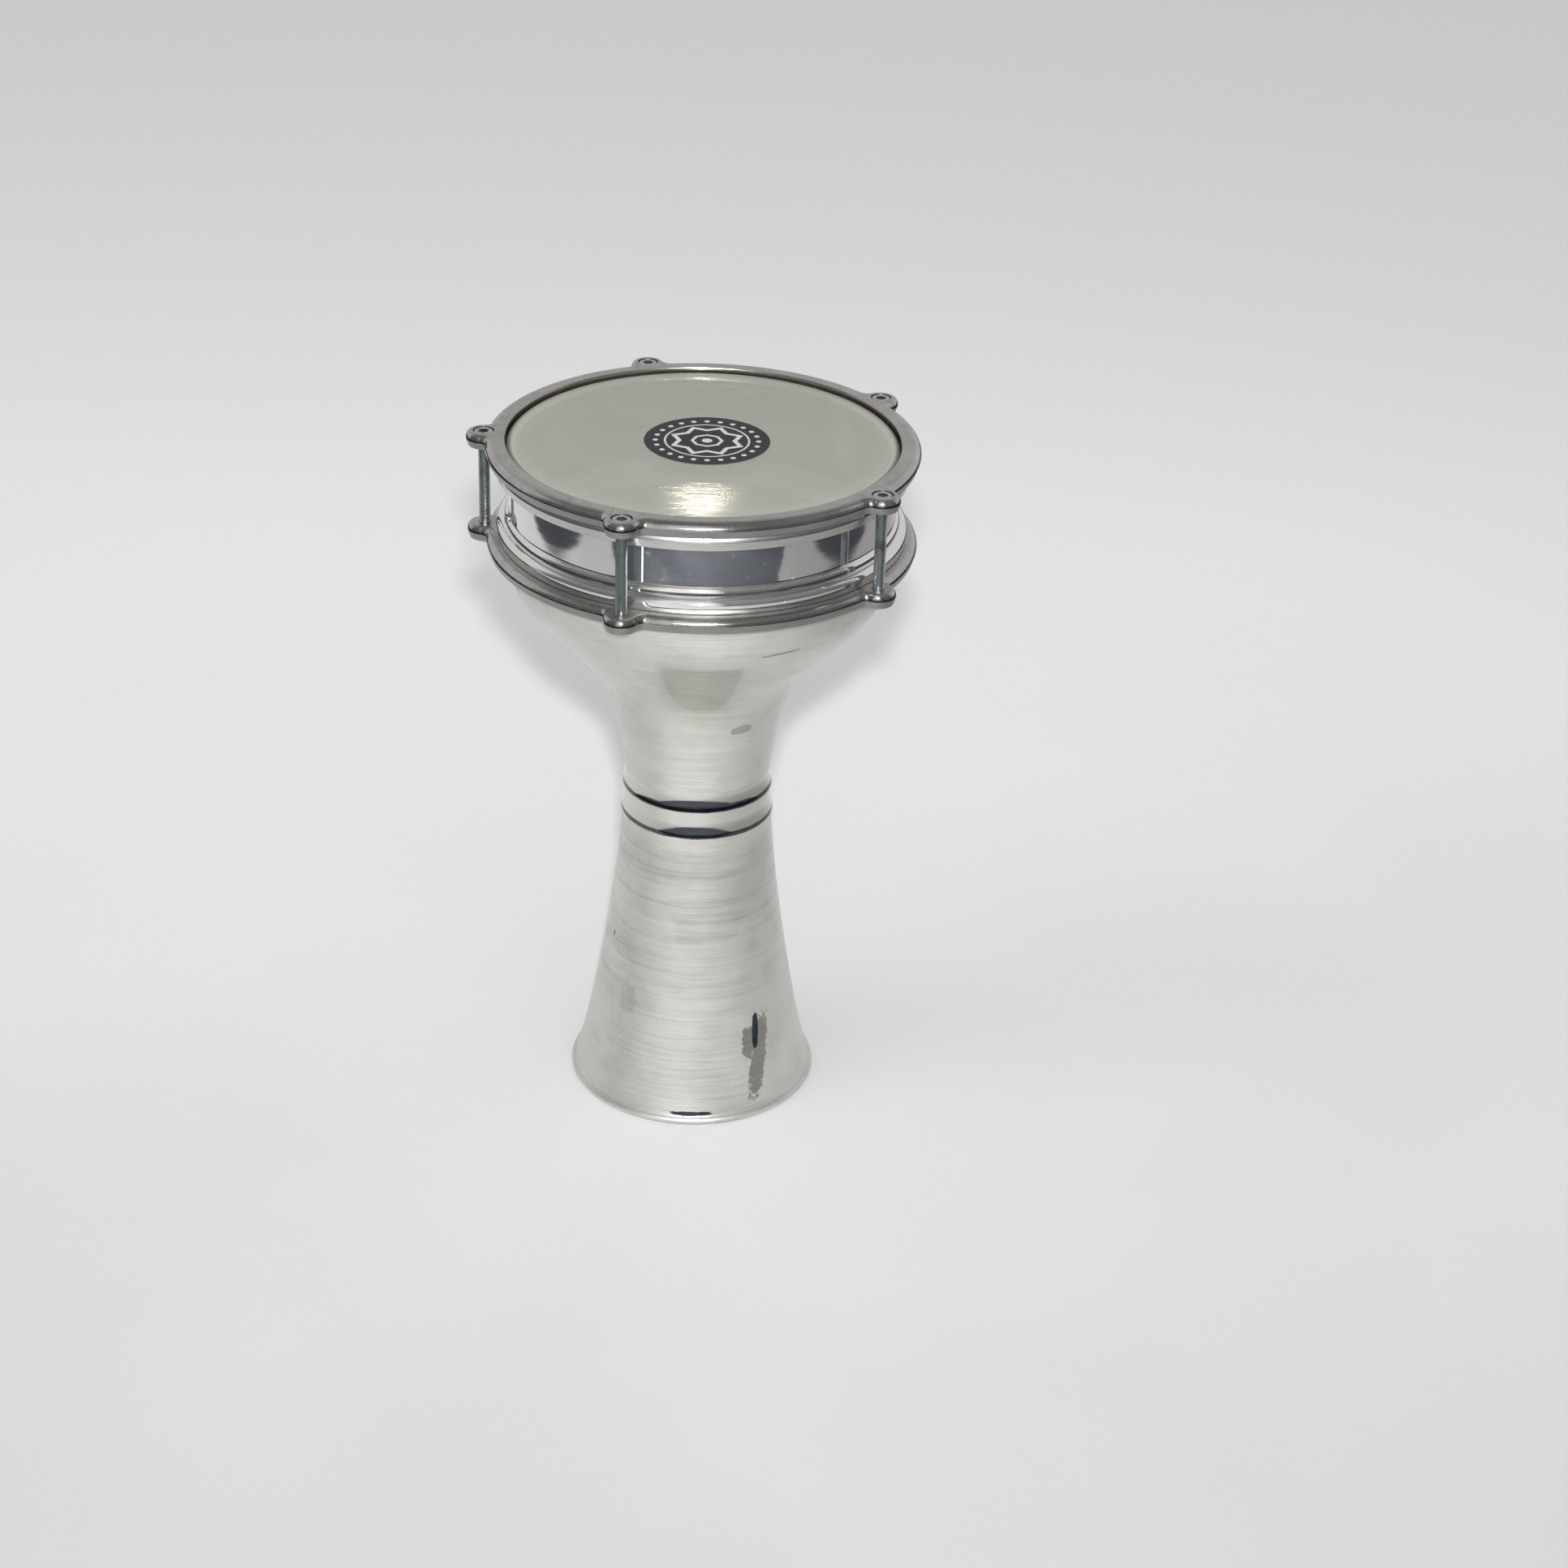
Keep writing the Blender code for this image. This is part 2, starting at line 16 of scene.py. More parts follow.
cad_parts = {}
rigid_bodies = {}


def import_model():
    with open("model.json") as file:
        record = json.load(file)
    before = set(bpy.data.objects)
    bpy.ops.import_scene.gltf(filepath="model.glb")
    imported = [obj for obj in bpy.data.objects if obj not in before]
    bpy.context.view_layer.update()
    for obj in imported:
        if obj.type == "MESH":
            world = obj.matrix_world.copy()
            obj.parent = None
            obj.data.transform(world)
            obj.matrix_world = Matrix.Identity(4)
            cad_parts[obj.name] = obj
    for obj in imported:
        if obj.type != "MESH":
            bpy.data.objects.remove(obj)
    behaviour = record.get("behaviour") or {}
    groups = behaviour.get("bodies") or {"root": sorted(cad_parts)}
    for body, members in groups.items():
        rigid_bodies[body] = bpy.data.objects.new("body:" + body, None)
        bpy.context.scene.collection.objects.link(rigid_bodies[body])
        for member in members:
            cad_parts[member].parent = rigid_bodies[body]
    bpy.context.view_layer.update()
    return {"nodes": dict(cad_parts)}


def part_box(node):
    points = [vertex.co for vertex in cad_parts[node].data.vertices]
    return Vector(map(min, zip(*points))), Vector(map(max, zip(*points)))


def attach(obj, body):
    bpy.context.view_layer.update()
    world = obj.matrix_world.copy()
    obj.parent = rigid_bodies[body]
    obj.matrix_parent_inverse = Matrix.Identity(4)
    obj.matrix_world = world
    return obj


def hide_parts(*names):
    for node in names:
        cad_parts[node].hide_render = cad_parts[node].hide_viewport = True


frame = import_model()


# Shell. The drum's body is one cast aluminium goblet, turned outside and in and polished on a
# lathe, with a rolled lip at the foot, two low beads round the neck, and a bead under the collar
# that the lower ring bears against. Its bearing edge carries the head.

WALL = 0.0025
COLLAR_RADIUS = 0.1010
COLLAR_ROLL = 0.0022
BEARING_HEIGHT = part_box("shell")[1][2]
SEAT_GAP = 0.0003
SEAT_RADIUS = 0.1041
SEAT_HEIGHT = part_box("lower_ring")[1][2] + SEAT_GAP
SEAT_BEAD = 0.1075
CREASE_DEPTH = 0.0042
CREASE_RISE = 0.0079
SHOULDER_RISE = 0.0042
BOWL_INSIDE = 0.1015
BOWL_INSIDE_DROP = 0.0054
COLLAR_INSIDE_RISE = 0.0145
INSIDE_HOLD = 0.007
WAIST_HEIGHT = 0.190
WAIST_RADIUS = 0.0395
THROAT_RADIUS = 0.0565
THROAT_RISE = 0.0626
THROAT_SLOPE = math.radians(38.6)
FOOT_LIP = (0.0666, 0.0020, 0.0020)
FOOT_TOP_OF_LIP = (0.0669, 0.0040)
FOOT_SLOPE = math.radians(23.7)
NECK_BEAD_START = 0.0005
NECK_BEAD_PITCH = 0.0157
NECK_BEAD_SHOULDER = 0.0081
NECK_BEAD_RISE = 0.0012
NECK_BEAD_DIP = 0.0008
NECK_BEAD_FADE = 0.014
NECK_BEAD_HOLLOW = 0.65
TURNED_STEPS = 180

# How far the outline keeps to its direction from each of these places, as on a drawn curve
FOOT_HOLD = 0.0193
WAIST_HOLD_DOWN = 0.055
WAIST_HOLD_UP = 0.0031
THROAT_HOLD_DOWN = 0.0205
THROAT_HOLD_UP = 0.0472
SEAT_HOLD = 0.0368


def bend(start, start_handle, end_handle, end, count):
    """Points (radius, height) along one smooth curve of a section."""
    knots = [Vector((r, z, 0)) for r, z in (start, start_handle, end_handle, end)]
    return [(point.x, point.y) for point in interpolate_bezier(*knots, count)]


def arc(centre, radius, start, end, steps):
    """Points along an arc of a section, with its ends in degrees."""
    turns = [math.radians(start + (end - start) * k / steps) for k in range(steps + 1)]
    return [(centre[0] + radius * math.cos(a), centre[1] + radius * math.sin(a)) for a in turns]


def straight(start, end, close=0.0003):
    """A straight stretch of a section without its ends, with a point close to each, so that
    smooth shading stays inside the corners."""
    run = Vector((end[0] - start[0], end[1] - start[1]))
    shares = (close / run.length, 1 - close / run.length)
    return [(start[0] + run.x * s, start[1] + run.y * s) for s in shares]


def finished(form, name, corner=40):
    """A mesh object from a bmesh, shaded smooth up to a corner in degrees."""
    mesh = bpy.data.meshes.new(name)
    form.to_mesh(mesh)
    form.free()
    mesh.shade_smooth()
    mesh.set_sharp_from_angle(angle=math.radians(corner))
    piece = bpy.data.objects.new(name, mesh)
    bpy.context.scene.collection.objects.link(piece)
    return piece


def turned(name, section, steps=TURNED_STEPS, ring=True, corner=40):
    """A piece turned about the drum's axis from a section of (radius, height) points. A ring's
    section is closed, and another runs from the axis back to it."""
    form = bmesh.new()
    points = [form.verts.new((r, 0, z)) for r, z in section]
    pairs = list(zip(points, points[1:]))
    if ring:
        pairs.append((points[-1], points[0]))
    edges = [form.edges.new(pair) for pair in pairs]
    bmesh.ops.spin(
        form,
        geom=points + edges,
        cent=(0, 0, 0),
        axis=(0, 0, 1),
        dvec=(0, 0, 0),
        angle=math.tau,
        steps=steps,
        space=Matrix(),
        use_merge=True,
    )
    bmesh.ops.remove_doubles(form, verts=form.verts, dist=0.000001)
    bmesh.ops.recalc_face_normals(form, faces=form.faces)
    return finished(form, name, corner)


def further(point, distance, slope=0.0):
    """The place at a distance up a line of a section that leans outward from upright."""
    return (point[0] + distance * math.sin(slope), point[1] + distance * math.cos(slope))


def goblet_line():
    """The goblet's plain outer line from the top of the foot's lip up to the seat."""
    foot = FOOT_TOP_OF_LIP
    waist = (WAIST_RADIUS, WAIST_HEIGHT)
    throat = (THROAT_RADIUS, WAIST_HEIGHT + THROAT_RISE)
    seat = (SEAT_RADIUS, SEAT_HEIGHT)
    foot_handle = further(foot, FOOT_HOLD, -FOOT_SLOPE)
    throat_handle = further(throat, -THROAT_HOLD_DOWN, THROAT_SLOPE)
    bowl_handle = further(throat, THROAT_HOLD_UP, THROAT_SLOPE)
    lower = bend(foot, foot_handle, further(waist, -WAIST_HOLD_DOWN), waist, 180)
    middle = bend(waist, further(waist, WAIST_HOLD_UP), throat_handle, throat, 50)
    upper = bend(throat, bowl_handle, further(seat, -SEAT_HOLD), seat, 60)
    return lower + middle[1:] + upper[1:]


def neck_bead(height):
    """How far the neck's two beads stand out at a height. Each sweeps out in a cove to a sharp
    ridge and slopes back in, and the lower one fades into the foot."""
    depth = WAIST_HEIGHT + NECK_BEAD_START - height
    if depth <= 0:
        return 0.0
    trough = NECK_BEAD_RISE - NECK_BEAD_DIP
    second = depth - NECK_BEAD_PITCH
    if second <= 0:
        start, along = 0.0, depth
    else:
        start, along = trough, second
    out = min(along / NECK_BEAD_SHOULDER, 1.0)
    cove = (1 - NECK_BEAD_HOLLOW) * out + NECK_BEAD_HOLLOW * out**2
    stand = start + (NECK_BEAD_RISE - start) * cove
    past = along - NECK_BEAD_SHOULDER
    if past <= 0:
        return stand
    if second <= 0:
        return NECK_BEAD_RISE - NECK_BEAD_DIP * past / (NECK_BEAD_PITCH - NECK_BEAD_SHOULDER)
    left = max(0.0, 1 - past / NECK_BEAD_FADE)
    return NECK_BEAD_RISE * left * left


def shell_section():
    """The shell's section: bearing edge, collar, bead, goblet, lip, and the inside back up."""
    body = goblet_line()
    edge = WALL / 2
    collar_inside = COLLAR_RADIUS - WALL
    line = arc((collar_inside, BEARING_HEIGHT - COLLAR_ROLL), COLLAR_ROLL, 240, 90, 16)
    line += arc((COLLAR_RADIUS - edge, BEARING_HEIGHT - edge), edge, 88, 0, 10)
    crease = (SEAT_BEAD - CREASE_DEPTH, SEAT_HEIGHT + CREASE_RISE)
    shoulder = (COLLAR_RADIUS, crease[1] + SHOULDER_RISE)
    above = (shoulder[0], shoulder[1] + 0.0008)
    line += straight(line[-1], above)
    line += bend(above, shoulder, shoulder, (shoulder[0] + 0.0005, shoulder[1] - 0.0002), 5)
    line += bend(
        (shoulder[0] + 0.0006, shoulder[1] - 0.0003),
        (crease[0] - 0.0004, shoulder[1] - 0.0008),
        (crease[0], crease[1] + 0.0020),
        (crease[0], crease[1] + 0.0002),
        10,
    )
    line += bend(
        crease,
        (crease[0] + 0.0022, crease[1] - 0.0002),
        (SEAT_BEAD - 0.0003, SEAT_HEIGHT + 0.0064),
        (SEAT_BEAD, SEAT_HEIGHT + 0.0046),
        12,
    )
    line += straight(line[-1], (SEAT_BEAD - 0.0007, SEAT_HEIGHT + 0.0003), 0.00015)
    line += [(SEAT_BEAD - 0.0008, SEAT_HEIGHT)]
    line += straight(line[-1], body[-1])
    line += [(r + neck_bead(z), z) for r, z in reversed(body)]
    lip_radius, lip_height, lip_round = FOOT_LIP
    line += arc((lip_radius, lip_height), lip_round, 60, -90, 12)
    line += straight(line[-1], (body[0][0] - WALL, 0.0), 0.0002)
    inner = [(body[0][0] - WALL, 0.0)]
    for before, here, after in zip(body[:-2:3], body[1:-1:3], body[2::3]):
        run = Vector((after[0] - before[0], after[1] - before[1])).normalized()
        inner.append((here[0] - WALL * run.y, here[1] + WALL * run.x))
    bowl = (BOWL_INSIDE, SEAT_HEIGHT - BOWL_INSIDE_DROP)
    inner = [point for point in inner if point[1] < bowl[1] - 0.004]
    collar = (collar_inside, bowl[1] + COLLAR_INSIDE_RISE)
    inner += bend(bowl, further(bowl, INSIDE_HOLD), further(collar, -INSIDE_HOLD), collar, 8)
    inner += straight(collar, line[0])
    return line + inner


class Field:
    """A value or colour that varies over a surface, as one output of a material's nodes.
    Python's own arithmetic on fields adds Math nodes."""

    def __init__(self, socket):
        self.socket = socket

    def node(self, kind, settings=None, sockets=None, output=0):
        """Adds a node with its settings first, then values or fields for its sockets."""
        tree = self.socket.id_data
        made = tree.nodes.new(kind)
        for key, value in (settings or {}).items():
            setattr(made, key, value)
        for key, value in (sockets or {}).items():
            if isinstance(value, Field):
                tree.links.new(value.socket, made.inputs[key])
            else:
                made.inputs[key].default_value = value
        return Field(made.outputs[output])

    def maths(self, operation, *others):
        sockets = dict(enumerate((self, *others)))
        return self.node("ShaderNodeMath", {"operation": operation}, sockets)

    def __add__(self, other):
        return self.maths("ADD", other)

    def __sub__(self, other):
        return self.maths("SUBTRACT", other)

    def __mul__(self, other):
        return self.maths("MULTIPLY", other)

    def __truediv__(self, other):
        return self.maths("DIVIDE", other)

    def __rsub__(self, other):
        return self.maths("MULTIPLY", -1.0).maths("ADD", other)

    __radd__ = __add__
    __rmul__ = __mul__

    def step(self, low, high):
        """Nought below low, one above high, and a soft slope between."""
        sockets = {"Value": self, "From Min": low, "From Max": high}
        return self.node("ShaderNodeMapRange", {"interpolation_type": "SMOOTHSTEP"}, sockets)

    def between(self, at_nought, at_one):
        """A value running from one number to another as this one runs from nought to one."""
        return self * (at_one - at_nought) + at_nought

    def blend_value(self, first, second):
        """One varying value at nought and another at one."""
        return first * (1.0 - self) + second * self

    def blend(self, first, second):
        """One colour at nought and another at one."""
        sockets = {"Factor": self, "A": first, "B": second}
        return self.node("ShaderNodeMix", {"data_type": "RGBA"}, sockets, "Result")

    def stretched(self, x, y, z):
        """A place scaled along each axis."""
        sockets = {0: self, 1: (x, y, z)}
        return self.node("ShaderNodeVectorMath", {"operation": "MULTIPLY"}, sockets)

    def noise(self, scale=1.0, detail=2.0, roughness=0.5):
        """Cloudy noise at this place, from nought to one."""
        sockets = {"Vector": self, "Scale": scale, "Detail": detail, "Roughness": roughness}
        return self.node("ShaderNodeTexNoise", None, sockets, "Fac")

    def parts(self):
        """The three numbers of a place."""
        made = self.node("ShaderNodeSeparateXYZ", None, {0: self})
        return [Field(socket) for socket in made.socket.node.outputs]

    def relief(self, distance, strength=1.0, under=None):
        """A bumped normal from this height, which runs from nought to one over a distance."""
        sockets = {"Height": self, "Distance": distance, "Strength": strength}
        if under:
            sockets["Normal"] = under
        return self.node("ShaderNodeBump", None, sockets)


def finish(name, **constants):
    """A Principled material with constants set on its shader: (material, shader, place)."""
    made = bpy.data.materials.new(name)
    made.use_nodes = True
    shader = made.node_tree.nodes["Principled BSDF"]
    for key, value in constants.items():
        shader.inputs[key.replace("_", " ")].default_value = value
    place = made.node_tree.nodes.new("ShaderNodeTexCoord").outputs["Object"]
    return made, shader, Field(place)


def feed(shader, **fields):
    """Links fields to a shader's sockets."""
    for key, field in fields.items():
        socket = shader.inputs[key.replace("_", " ")]
        field.socket.id_data.links.new(field.socket, socket)


def round_the_axis(place):
    """(distance from the axis, angle round it, height) of a place."""
    x, y, z = place.parts()
    return (x * x + y * y).maths("SQRT"), y.maths("ARCTAN2", x), z


def smear(radius, angle, height, at, size, place, lean=0.0, ragged=0.5, grain=260.0):
    """A mark on the shell at (angle, height), size (half width, half height) in metres, that
    leans by an angle for each metre up and has a ragged edge. It runs from nought to one."""
    up = height - at[1]
    across = ((angle - at[0] - up * lean) * radius / size[0]).maths("ABSOLUTE")
    along = (up / size[1]).maths("ABSOLUTE")
    away = (across.maths("POWER", 3.0) + along.maths("POWER", 3.0)).maths("POWER", 1 / 3)
    away = away + (place.noise(grain, 4.0, 0.7) - 0.5) * (2 * ragged)
    return 1.0 - away.step(0.86, 1.0)


def line_round(height, at, half, place):
    """A thin uneven line round the shell at a height."""
    off = (height - at).maths("ABSOLUTE") / half
    off = off + (place.noise(150.0, 3.0, 0.7) - 0.5)
    return 1.0 - off.step(0.75, 1.15)


COVES_DROP = 0.0105
RIDGE_DARK_RISE = 0.0010
RIDGE_DARK_HALF = 0.0012
SCRATCH_PLACE = (-1.10, 0.3010)
SCRATCH_RISE = 0.063
CLEAN_METAL = (0.67, 0.66, 0.62, 1)
DULL_METAL = (0.40, 0.39, 0.345, 1)
MIRROR_METAL = (0.80, 0.79, 0.77, 1)
BLACK_SPOT = (0.018, 0.030, 0.050, 1)
RIDGE_DARK_BLACK = (0.035, 0.040, 0.050, 1)


def polished_aluminium():
    """Lathe-polished aluminium. Turning lines run round the axis, with wider dull rings on the
    foot, a painted grey reflection on the bowl, stains, a scratch, smudges, and grime with a
    painted dark reflection along the neck's ridges.
    The collar, the beads and the neck's coves are polished to a mirror."""
    made, shader, place = finish("polished_aluminium", Metallic=1.0)
    radius, angle, height = round_the_axis(place)

    def mark(at, size, lean=0.0, ragged=0.5, grain=260.0):
        """A mark on the shell, placed and shaped as smear says."""
        return smear(radius, angle, height, at, size, place, lean, ragged, grain)

    mirror = height.step(SEAT_HEIGHT - 0.002, SEAT_HEIGHT + 0.002)
    coves = (height - (WAIST_HEIGHT - COVES_DROP)).maths("ABSOLUTE")
    coves = 1.0 - coves.step(0.0120, 0.0140)
    bright = mirror.maths("MAXIMUM", coves * 0.95)

    clouds = place.noise(40.0, 5.0, 0.62)
    rings = place.stretched(8.0, 8.0, 250.0).noise(1.0, 5.0, 0.72)
    hair = place.stretched(20.0, 20.0, 900.0).noise(1.0, 3.0, 0.6)
    on_foot = (1.0 - height.step(0.146, 0.160)) * height.step(0.060, 0.085)
    dull = clouds.step(0.38, 0.72) * 0.30 + hair.step(0.40, 0.75) * 0.17
    patchy = on_foot.between(0.12, 0.42) * clouds.step(0.25, 0.60)
    dull = (dull + rings.step(0.44, 0.70) * patchy) * (1.0 - bright)

    stain = mark((-0.860, 0.0330), (0.0056, 0.0250), 4.4, 0.6, 420.0)
    lobe = mark((-0.965, 0.0420), (0.0040, 0.0100), 1.0, 0.6, 420.0)
    stain = stain.maths("MAXIMUM", lobe)
    core = mark((-0.872, 0.0480), (0.0022, 0.0105), 2.0, 0.3)
    lip = mark((-1.520, 0.0060), (0.0125, 0.0012), 0.0, 0.45)
    spot = mark((-1.035, 0.2335), (0.0066, 0.0030), 0.0, 0.45)
    smudge = mark((-2.28, 0.0630), (0.0060, 0.0080), 0.0, 0.9)
    nick = mark((-2.68, 0.0950), (0.0007, 0.0018))
    # The painted grey reflection on the bowl spreads as the bowl does, so its width is an angle,
    # and it ends at one turned line.
    painted_reflection = smear(1.0, angle, height, (-1.520, 0.2750), (0.262, 0.0270), place, 0.0, 0.10)
    painted_reflection = painted_reflection * (1.0 - height.step(0.2914, 0.2926))
    rise = (angle - SCRATCH_PLACE[0]) * radius * SCRATCH_RISE
    scratch = smear(radius, angle, height - rise, SCRATCH_PLACE, (0.0120, 0.0006), place)
    # A thin dark line just above each of the neck's ridges: grime, and a painted dark reflection.
    ridge = WAIST_HEIGHT + NECK_BEAD_START - NECK_BEAD_SHOULDER
    upper = line_round(height, ridge + RIDGE_DARK_RISE, RIDGE_DARK_HALF, place)
    lower = line_round(height, ridge + RIDGE_DARK_RISE - NECK_BEAD_PITCH, RIDGE_DARK_HALF, place)
    grime_and_reflection = upper.maths("MAXIMUM", lower)
    specks = place.noise(430.0, 2.0, 0.6).step(0.72, 0.80) * (1.0 - bright)

    colour = dull.blend(CLEAN_METAL, DULL_METAL)
    colour = (mirror * 0.8).blend(colour, MIRROR_METAL)
    colour = (specks * 0.35).blend(colour, (0.30, 0.29, 0.26, 1))
    colour = (smudge * 0.20).blend(colour, (0.25, 0.23, 0.18, 1))
    # A grey U on the bowl: a painted reflection.
    colour = (painted_reflection * clouds.between(0.10, 0.62)).blend(colour, (0.38, 0.39, 0.36, 1))
    colour = (spot * 0.55).blend(colour, (0.24, 0.25, 0.245, 1))
    colour = (scratch * 0.75).blend(colour, (0.18, 0.18, 0.16, 1))
    edge = stain * (1.0 - stain) * 4.0
    colour = (stain * 0.85).blend(colour, (0.27, 0.265, 0.24, 1))
    colour = (edge * 0.5).blend(colour, (0.85, 0.78, 0.66, 1))
    black = core.maths("MAXIMUM", lip).maths("MAXIMUM", nick)
    colour = (black * 0.95).blend(colour, BLACK_SPOT)
    colour = (grime_and_reflection * 0.85).blend(colour, RIDGE_DARK_BLACK)

    rough = dull.between(0.16, 0.25) + clouds.step(0.5, 0.8) * 0.03
    rough = rough * (1.0 - bright) + bright * 0.05
    rough = rough * (1.0 - stain * 0.5) + (1.0 - height.step(0.003, 0.007)) * 0.12
    waves = place.stretched(16.0, 16.0, 90.0).noise(1.0, 2.0).relief(0.00004)
    turning = place.stretched(9.0, 9.0, 6500.0).noise(1.0, 1.0)
    fine = (turning * (1.0 - bright)).relief(0.00006, 1.0, waves)
    feed(shader, Base_Color=colour, Roughness=rough, Normal=fine)

    scuffed = made.node_tree.nodes.new("ShaderNodeBsdfPrincipled")
    scuffed.inputs["Metallic"].default_value = 1.0
    grooves = turning.relief(0.0003, 1.0, waves)
    feed(scuffed, Base_Color=colour, Roughness=bright.between(0.62, 0.06), Normal=grooves)
    share = clouds.between(0.30, 0.44) * (1.0 - bright) + mirror * 0.07
    share = share * (1.0 - stain * 0.7)
    sockets = {0: share, 1: Field(shader.outputs[0]), 2: Field(scuffed.outputs[0])}
    whole = share.node("ShaderNodeMixShader", None, sockets)
    made.node_tree.links.new(whole.socket, made.node_tree.nodes["Material Output"].inputs[0])
    return made


def turned_bore():
    """The shell's inside: turned but not polished, with a coarser tool mark and a dull cast."""
    made, shader, place = finish("turned_bore", Metallic=1.0)
    tool = place.stretched(5.0, 5.0, 6000.0).noise(1.0, 1.0)
    clouds = place.noise(30.0, 4.0, 0.6)
    colour = clouds.blend((0.78, 0.69, 0.53, 1), (0.60, 0.53, 0.41, 1))
    feed(
        shader,
        Base_Color=colour,
        Roughness=clouds.between(0.17, 0.23),
        Normal=tool.relief(0.00008),
    )
    return made


shell = turned("goblet_shell", shell_section(), corner=22)
shell.data.materials.append(polished_aluminium())
shell.data.materials.append(turned_bore())
for face in shell.data.polygons:
    inward = face.normal.xy.dot(face.center.xy) < 0
    inside = face.center.xy.length < COLLAR_RADIUS - 0.0008
    face.material_index = 1 if inward and inside else 0
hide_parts("shell")
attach(shell, "drum")


# Lower ring. An aluminium casting that hangs under the shell's bead, with five tapped ears. Its
# flat faces are satin from the casting and fettling, and its upper edge is rolled over and buffed.

RING_BORE = SEAT_RADIUS + 0.0003
CASTING_RADIUS = 0.1128
BOLT_CIRCLE = 0.1138
EAR_RADIUS = 0.00929
EAR_FILLET = 0.0040
ROLL_WIDTH = 0.0050
ROLL_DROP = 0.0040
EAR_ROLL = 0.0026
SIDE_DRAFT = 0.0011
EAR_ANGLES = [math.pi + k * math.tau / 5 for k in range(5)]
CASTING_CORNER = 16
SCREW_HOLE = 0.0033
DRILL_PAST = 0.002


def casting_outline():
    """The castings' outline, anticlockwise, as (point, outward direction, share of the ear):
    the fillet into each ear, the ear's round end, the fillet back and the rim."""
    out = CASTING_RADIUS + EAR_FILLET
    over = EAR_RADIUS + EAR_FILLET
    at_axis = math.acos((BOLT_CIRCLE**2 + out**2 - over**2) / (2 * BOLT_CIRCLE * out))
    at_ear = math.acos((BOLT_CIRCLE**2 + over**2 - out**2) / (2 * BOLT_CIRCLE * over))

    def sweep(place, reach, radius, start, end, steps, side, share):
        centre = Vector((math.cos(place), math.sin(place))) * reach
        for k in range(steps):
            turn = start + (end - start) * k / steps
            way = Vector((math.cos(turn), math.sin(turn)))
            points.append((centre + way * radius, way * side, share(k / steps)))

    points = []
    for ear in EAR_ANGLES:
        before, after = ear - at_axis, ear + at_axis
        half = math.pi - at_ear
        sweep(before, out, EAR_FILLET, before + math.pi, ear + at_ear, 9, -1, lambda k: k)
        sweep(ear, BOLT_CIRCLE, EAR_RADIUS, ear - half, ear + half, 30, 1, lambda k: 1)
        sweep(after, out, EAR_FILLET, ear - at_ear, after - math.pi, 9, -1, lambda k: 1 - k)
        sweep(0, 0, CASTING_RADIUS, after, ear + math.tau / 5 - at_axis, 34, 1, lambda k: 0)
    return points


def casting(name, node, bore):
    """A cast ring with ears. A loop round the bore is extruded along the ring's section: out over
    the flat face, down a wide roll to a crisp edge, down a side with draft, and back in."""
    bottom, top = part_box(node)[0][2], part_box(node)[1][2]
    outline = casting_outline()

    def rim(height, inset, ear_inset):
        """A loop round the outline, set in by one amount on the rim and another on the ears."""
        return [
            (*(point - way * (inset + (ear_inset - inset) * share)), height)
            for point, way, share in outline
        ]

    def hole(height, radius):
        """A loop round the bore."""
        return [(*(point.normalized() * radius), height) for point, _, _ in outline]

    loops = [
        hole(top - 0.0006, bore),
        hole(top - 0.0002, bore + 0.0002),
        hole(top, bore + 0.0006),
        rim(top, ROLL_WIDTH + 0.0002, EAR_ROLL + 0.0002),
    ]
    for step in range(10):
        turn = math.radians(90 - 8.3 * step)
        inset = 1 - math.cos(turn)
        height = top - ROLL_DROP * (1 - math.sin(turn))
        loops.append(rim(height, ROLL_WIDTH * inset, EAR_ROLL * inset))
    loops += [
        rim(top - ROLL_DROP, 0.0, 0.0),
        rim(top - ROLL_DROP - 0.0001, 0.0001, 0.0001),
        rim(bottom + 0.0008, SIDE_DRAFT, SIDE_DRAFT),
        rim(bottom + 0.0003, SIDE_DRAFT + 0.0002, SIDE_DRAFT + 0.0002),
        rim(bottom, SIDE_DRAFT + 0.0006, SIDE_DRAFT + 0.0006),
        hole(bottom, bore + 0.0003),
        hole(bottom + 0.0003, bore),
        hole(top - 0.0006, bore),
    ]
    form = bmesh.new()
    corners = [form.verts.new(place) for place in loops[0]]
    edges = [form.edges.new(pair) for pair in zip(corners, corners[1:] + corners[:1])]
    for places in loops[1:]:
        order = {corner: number for number, corner in enumerate(corners)}
        made = bmesh.ops.extrude_edge_only(form, edges=edges)["geom"]
        edges = [item for item in made if isinstance(item, bmesh.types.BMEdge)]
        for corner in [item for item in made if isinstance(item, bmesh.types.BMVert)]:
            ends = [edge.other_vert(corner) for edge in corner.link_edges]
            number = next(order[end] for end in ends if end in order)
            corner.co = places[number]
            corners[number] = corner
    bmesh.ops.remove_doubles(form, verts=form.verts, dist=0.000001)
    bmesh.ops.recalc_face_normals(form, faces=form.faces)
    return finished(form, name, CASTING_CORNER)


def bored(piece, radius, low, high):
    """Cuts a hole of one radius through each ear between two heights."""
    form = bmesh.new()
    for ear in EAR_ANGLES:
        x, y = BOLT_CIRCLE * math.cos(ear), BOLT_CIRCLE * math.sin(ear)
        bmesh.ops.create_cone(
            form,
            cap_ends=True,
            segments=48,
            radius1=radius,
            radius2=radius,
            depth=high - low,
            matrix=Matrix.Translation((x, y, (low + high) / 2)),
        )
    drill = finished(form, "drill", 30)
    cut = piece.modifiers.new("bored", "BOOLEAN")
    cut.operation = "DIFFERENCE"
    cut.solver = "MANIFOLD"
    cut.object = drill
    bpy.context.view_layer.update()
    graph = bpy.context.evaluated_depsgraph_get()
    mesh = bpy.data.meshes.new_from_object(piece.evaluated_get(graph))
    piece.modifiers.clear()
    piece.data = mesh
    bpy.data.objects.remove(drill)
    mesh.set_sharp_from_angle(angle=math.radians(CASTING_CORNER))


